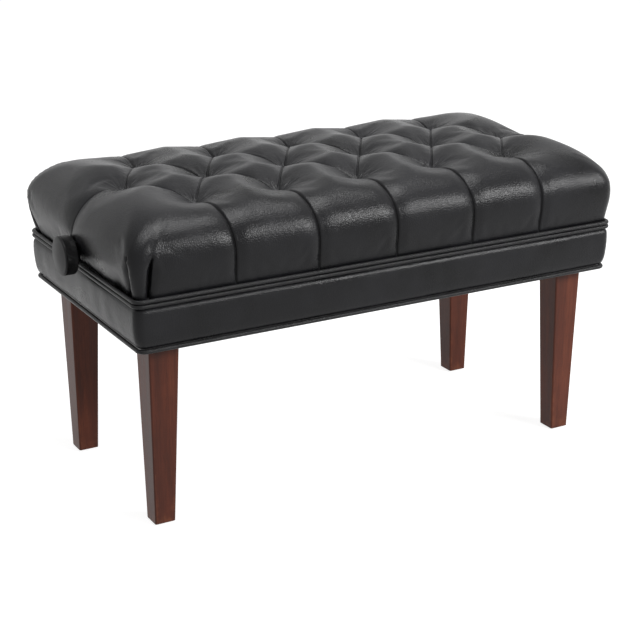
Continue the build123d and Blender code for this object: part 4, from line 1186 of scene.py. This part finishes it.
thread_xs = np.arange(thread_start - thread_pitch, thread_end + thread_pitch, thread_pitch / thread_steps)
ring_xs = np.concatenate([[rod_low[0], rod_low[0] + end_chamfer], thread_xs,
                          [rod_high[0] - end_chamfer, rod_high[0]]])
angles = np.linspace(0, 2 * math.pi, thread_sides, endpoint=False)
along, round_angle = np.meshgrid(ring_xs, angles, indexing="ij")
phase = (along / thread_pitch - round_angle / (2 * math.pi)) % 1.0
groove = thread_depth * np.clip(1 - np.abs(phase - 0.5) * groove_slope, 0, 1)
groove *= np.clip(np.minimum(along - thread_start, thread_end - along) / thread_pitch, 0, 1)
radius = rod_radius - groove
radius[[0, -1]] -= end_chamfer
rod_places = np.column_stack([along.ravel(), (radius * np.cos(round_angle)).ravel(),
                              (rod_height + radius * np.sin(round_angle)).ravel()])
rod_faces = [(a, d, c, b) for a, b, c, d in tube_faces(len(ring_xs), thread_sides)]
last_ring = (len(ring_xs) - 1) * thread_sides
rod_faces += [tuple(range(thread_sides))[::-1], tuple(range(last_ring, last_ring + thread_sides))]
rod_mesh = new_mesh("threaded_screw", rod_places, rod_faces)
face_outwards(rod_mesh)
rod_mesh.shade_smooth()
finish_piece(rod_mesh, "screw_and_knobs", "screw_steel", "lift_screw")
print("thread of", round((thread_end - thread_start) / thread_pitch, 1), "turns")

# %% [markdown]
# ## Geometry Nodes for what repeats
# Two node trees make the small repeated pieces: the ribs round a knob's rim, and the staples
# that hold the leather under the rails. Each tree places one small block on many points,
# makes the copies real and gives them their finish. A helper runs a tree on an empty mesh and
# keeps the result as a plain mesh.

# %% Two trees and a helper
def start_tree(name, sizes):
    """A Geometry Nodes tree with named inputs. Each is given by its kind and usual value."""
    tree = bpy.data.node_groups.new(name, "GeometryNodeTree")
    tree.interface.new_socket("Geometry", in_out="INPUT", socket_type="NodeSocketGeometry")
    for size_name, (kind, value) in sizes.items():
        socket = tree.interface.new_socket(size_name, in_out="INPUT", socket_type="NodeSocket" + kind)
        socket.default_value = value
    tree.interface.new_socket("Geometry", in_out="OUTPUT", socket_type="NodeSocketGeometry")
    return tree, tree.nodes.new("NodeGroupInput").outputs


def end_tree(tree, points, block, turn, finish):
    """Puts a block on every point, makes the copies real and gives them their finish."""
    copies = add_node(tree, "GeometryNodeInstanceOnPoints",
                      {"Points": points, "Instance": block, "Rotation": turn}).outputs[0]
    real = add_node(tree, "GeometryNodeRealizeInstances", {0: copies}).outputs[0]
    painted = add_node(tree, "GeometryNodeSetMaterial", {"Geometry": real, "Material": finishes[finish]})
    tree.links.new(painted.outputs[0], tree.nodes.new("NodeGroupOutput").inputs[0])
    return tree


def knurl_tree():
    """Ribs round a rim: upright thin blocks, turned to lie across it."""
    tree, sizes = start_tree("knurled_rim", {"Ribs": ("Int", 72), "Rim Radius": ("Float", 0.028),
                                             "Rib Width": ("Float", 0.0010), "Rib Length": ("Float", 0.012)})
    circle = add_node(tree, "GeometryNodeMeshCircle",
                      {"Vertices": sizes["Ribs"], "Radius": sizes["Rim Radius"]})
    size = add_node(tree, "ShaderNodeCombineXYZ",
                    {"X": sizes["Rib Width"], "Y": sizes["Rib Width"], "Z": sizes["Rib Length"]})
    rib = add_node(tree, "GeometryNodeMeshCube", {"Size": size.outputs[0]})
    outward = add_node(tree, "GeometryNodeInputPosition")
    turned = add_node(tree, "FunctionNodeAlignRotationToVector", {"Vector": outward.outputs[0]}, axis="X")
    quarter = add_node(tree, "FunctionNodeRotateRotation",
                       {0: turned.outputs[0], 1: (0, 0, math.radians(45))}, rotation_space="LOCAL")
    return end_tree(tree, circle.outputs[0], rib.outputs[0], quarter.outputs[0], "knob_plastic")


def staple_tree():
    """Staple crowns in a row on the points of a mesh line, each turned a little by chance."""
    tree, sizes = start_tree("staple_row", {"Staples": ("Int", 10), "Start": ("Vector", (0, 0, 0)),
                                            "Step": ("Vector", (0.04, 0, 0)), "Turn": ("Float", 0.0),
                                            "Seed": ("Int", 5)})
    line = add_node(tree, "GeometryNodeMeshLine",
                    {"Count": sizes["Staples"], "Start Location": sizes["Start"], "Offset": sizes["Step"]})
    crown = add_node(tree, "GeometryNodeMeshCube", {"Size": (0.0100, 0.0011, 0.0006)})
    chance = add_node(tree, "FunctionNodeRandomValue", {"Min": -0.10, "Max": 0.10, "Seed": sizes["Seed"]})
    turn = math_node(tree, "ADD", chance.outputs["Value"], sizes["Turn"])
    spin = add_node(tree, "ShaderNodeCombineXYZ", {"Z": turn})
    return end_tree(tree, line.outputs[0], crown.outputs[0], spin.outputs[0], "bright_steel")


def run_tree(tree, **values):
    """Runs a tree with some sizes and returns the mesh that it makes."""
    carrier = new_object("carrier", bpy.data.meshes.new("carrier"))
    modifier = carrier.modifiers.new("tree", "NODES")
    modifier.node_group = tree
    sockets = {item.name: item.identifier for item in tree.interface.items_tree if item.in_out == "INPUT"}
    for name, value in values.items():
        modifier[sockets[name.replace("_", " ")]] = value
    evaluated = carrier.evaluated_get(bpy.context.evaluated_depsgraph_get())
    made = bpy.data.meshes.new_from_object(evaluated)
    carrier.modifiers.remove(modifier)
    bpy.data.objects.remove(carrier)
    return made


knurled_rim, staple_row = knurl_tree(), staple_tree()
print("trees", knurled_rim.name, staple_row.name)

# %% [markdown]
# ## The knobs
# Each knob is a round moulding in black plastic: a short hub, a head with a knurled rim, a
# smooth bevel and a face that is domed a little. The profile is a list of stations along the screw.

# %% Turn the two knobs
def turned_mesh(name, stations, sides=96):
    """A closed turned shape round X, from (place along X, radius) stations with points at both ends."""
    angles = np.linspace(0, 2 * math.pi, sides, endpoint=False)
    rings = [(x, r * math.cos(a), r * math.sin(a)) for x, r in stations[1:-1] for a in angles]
    count, last_ring = len(stations) - 2, len(rings) - sides
    faces = tube_faces(count, sides)
    faces += [(len(rings), (j + 1) % sides, j) for j in range(sides)]
    faces += [(len(rings) + 1, last_ring + j, last_ring + (j + 1) % sides) for j in range(sides)]
    return new_mesh(name, rings + [(stations[0][0], 0, 0), (stations[-1][0], 0, 0)], faces)


knob_low, knob_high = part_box("knob_right")
knob_radius = (knob_high[2] - knob_low[2]) / 2
hub_radius, hub_length, knob_dome = 0.0150, 0.0065, 0.0022
rim_depth, rib_count, rib_width, rib_sink = 0.0010, 96, 0.0010, 0.0001
knob_start, knob_end = knob_low[0], knob_high[0]
head_start, face_edge = knob_start + hub_length, knob_end - knob_dome
rim_start, rim_end = head_start + 0.0020, face_edge - 0.0032

# place along the screw, and radius
stations = [(knob_start, 0.0), (knob_start, hub_radius - 0.0008), (knob_start + 0.0008, hub_radius),
            (head_start - 0.0012, hub_radius), (head_start - 0.0003, hub_radius + 0.0004),
            (head_start, hub_radius + 0.0016), (head_start, knob_radius - 0.0026),
            (head_start + 0.0006, knob_radius - 0.0014), (head_start + 0.0018, knob_radius - 0.0008),
            (rim_start, knob_radius - rim_depth), (rim_end, knob_radius - rim_depth),
            (face_edge - 0.0030, knob_radius - 0.0002), (face_edge - 0.0016, knob_radius),
            (face_edge - 0.0006, knob_radius - 0.0006), (face_edge, knob_radius - 0.0018)]
stations += [(face_edge + knob_dome * (1 - share ** 2), share * (knob_radius - 0.0030))
             for share in (0.96, 0.85, 0.7, 0.5, 0.3, 0.12)] + [(knob_end, 0.0)]
for side, node in ((-1, "knob_left"), (1, "knob_right")):
    head = turned_mesh(node + "_head", stations)
    ribs = run_tree(knurled_rim, Ribs=rib_count, Rim_Radius=knob_radius - rim_depth - rib_sink,
                    Rib_Width=rib_width, Rib_Length=rim_end - rim_start)
    rim_middle = Matrix.Translation(((rim_start + rim_end) / 2, 0, 0))
    ribs.transform(rim_middle @ Matrix.Rotation(math.radians(90), 4, "Y"))
    joined = bmesh.new()
    joined.from_mesh(head)
    smooth_count = len(joined.faces)
    joined.from_mesh(ribs)
    for number, knob_face in enumerate(joined.faces):
        knob_face.smooth = number < smooth_count
        knob_face.material_index = 0
    bmesh.ops.scale(joined, vec=(side, 1, 1), verts=joined.verts)
    bmesh.ops.translate(joined, vec=(0, 0, rod_height), verts=joined.verts)
    bmesh.ops.recalc_face_normals(joined, faces=joined.faces)
    joined.to_mesh(head)
    joined.free()
    finish_piece(head, "screw_and_knobs", "knob_plastic", node)
print("knobs", round(knob_radius * 2, 4), "across")

# %% [markdown]
# ## Staples
# Underneath, the leather's flaps are stapled to the apron boards and to the seat frame. The
# staples lie across the flap near its inner edge. They are left out where a leg or a rail
# would cover them.

# %% Staple the flaps
staple_inset = 0.0085


def staples_round(name, body, edge_x, edge_y, height, gap, skip, seed):
    """Four rows of staples under a rectangle, one mesh for one body."""
    out_x, out_y = edge_x - staple_inset, edge_y - staple_inset
    whole = bmesh.new()
    for side in (-1, 1):
        for length, across, turn in ((out_x - skip, out_y, 0.0), (out_y - skip, out_x, math.pi / 2)):
            count = int(2 * length / gap)
            step = 2 * length / (count - 1)
            if turn:
                start, way = (side * across, -length, height), (0.0, step, 0.0)
            else:
                start, way = (-length, side * across, height), (step, 0.0, 0.0)
            seed += 1
            whole.from_mesh(run_tree(staple_row, Staples=count, Start=start, Step=way, Turn=turn, Seed=seed))
    mesh = bpy.data.meshes.new(name)
    whole.to_mesh(mesh)
    whole.free()
    return finish_piece(mesh, body, "bright_steel")


staples_round("apron_staples", "base", wood_x, wood_y, apron_low[2] - hair,
              gap=0.024, skip=0.066, seed=40)
staples_round("seat_staples", "seat", board_x, board_y, under_height - 2 * hair,
              gap=0.026, skip=0.030, seed=60)
print("staples in place")
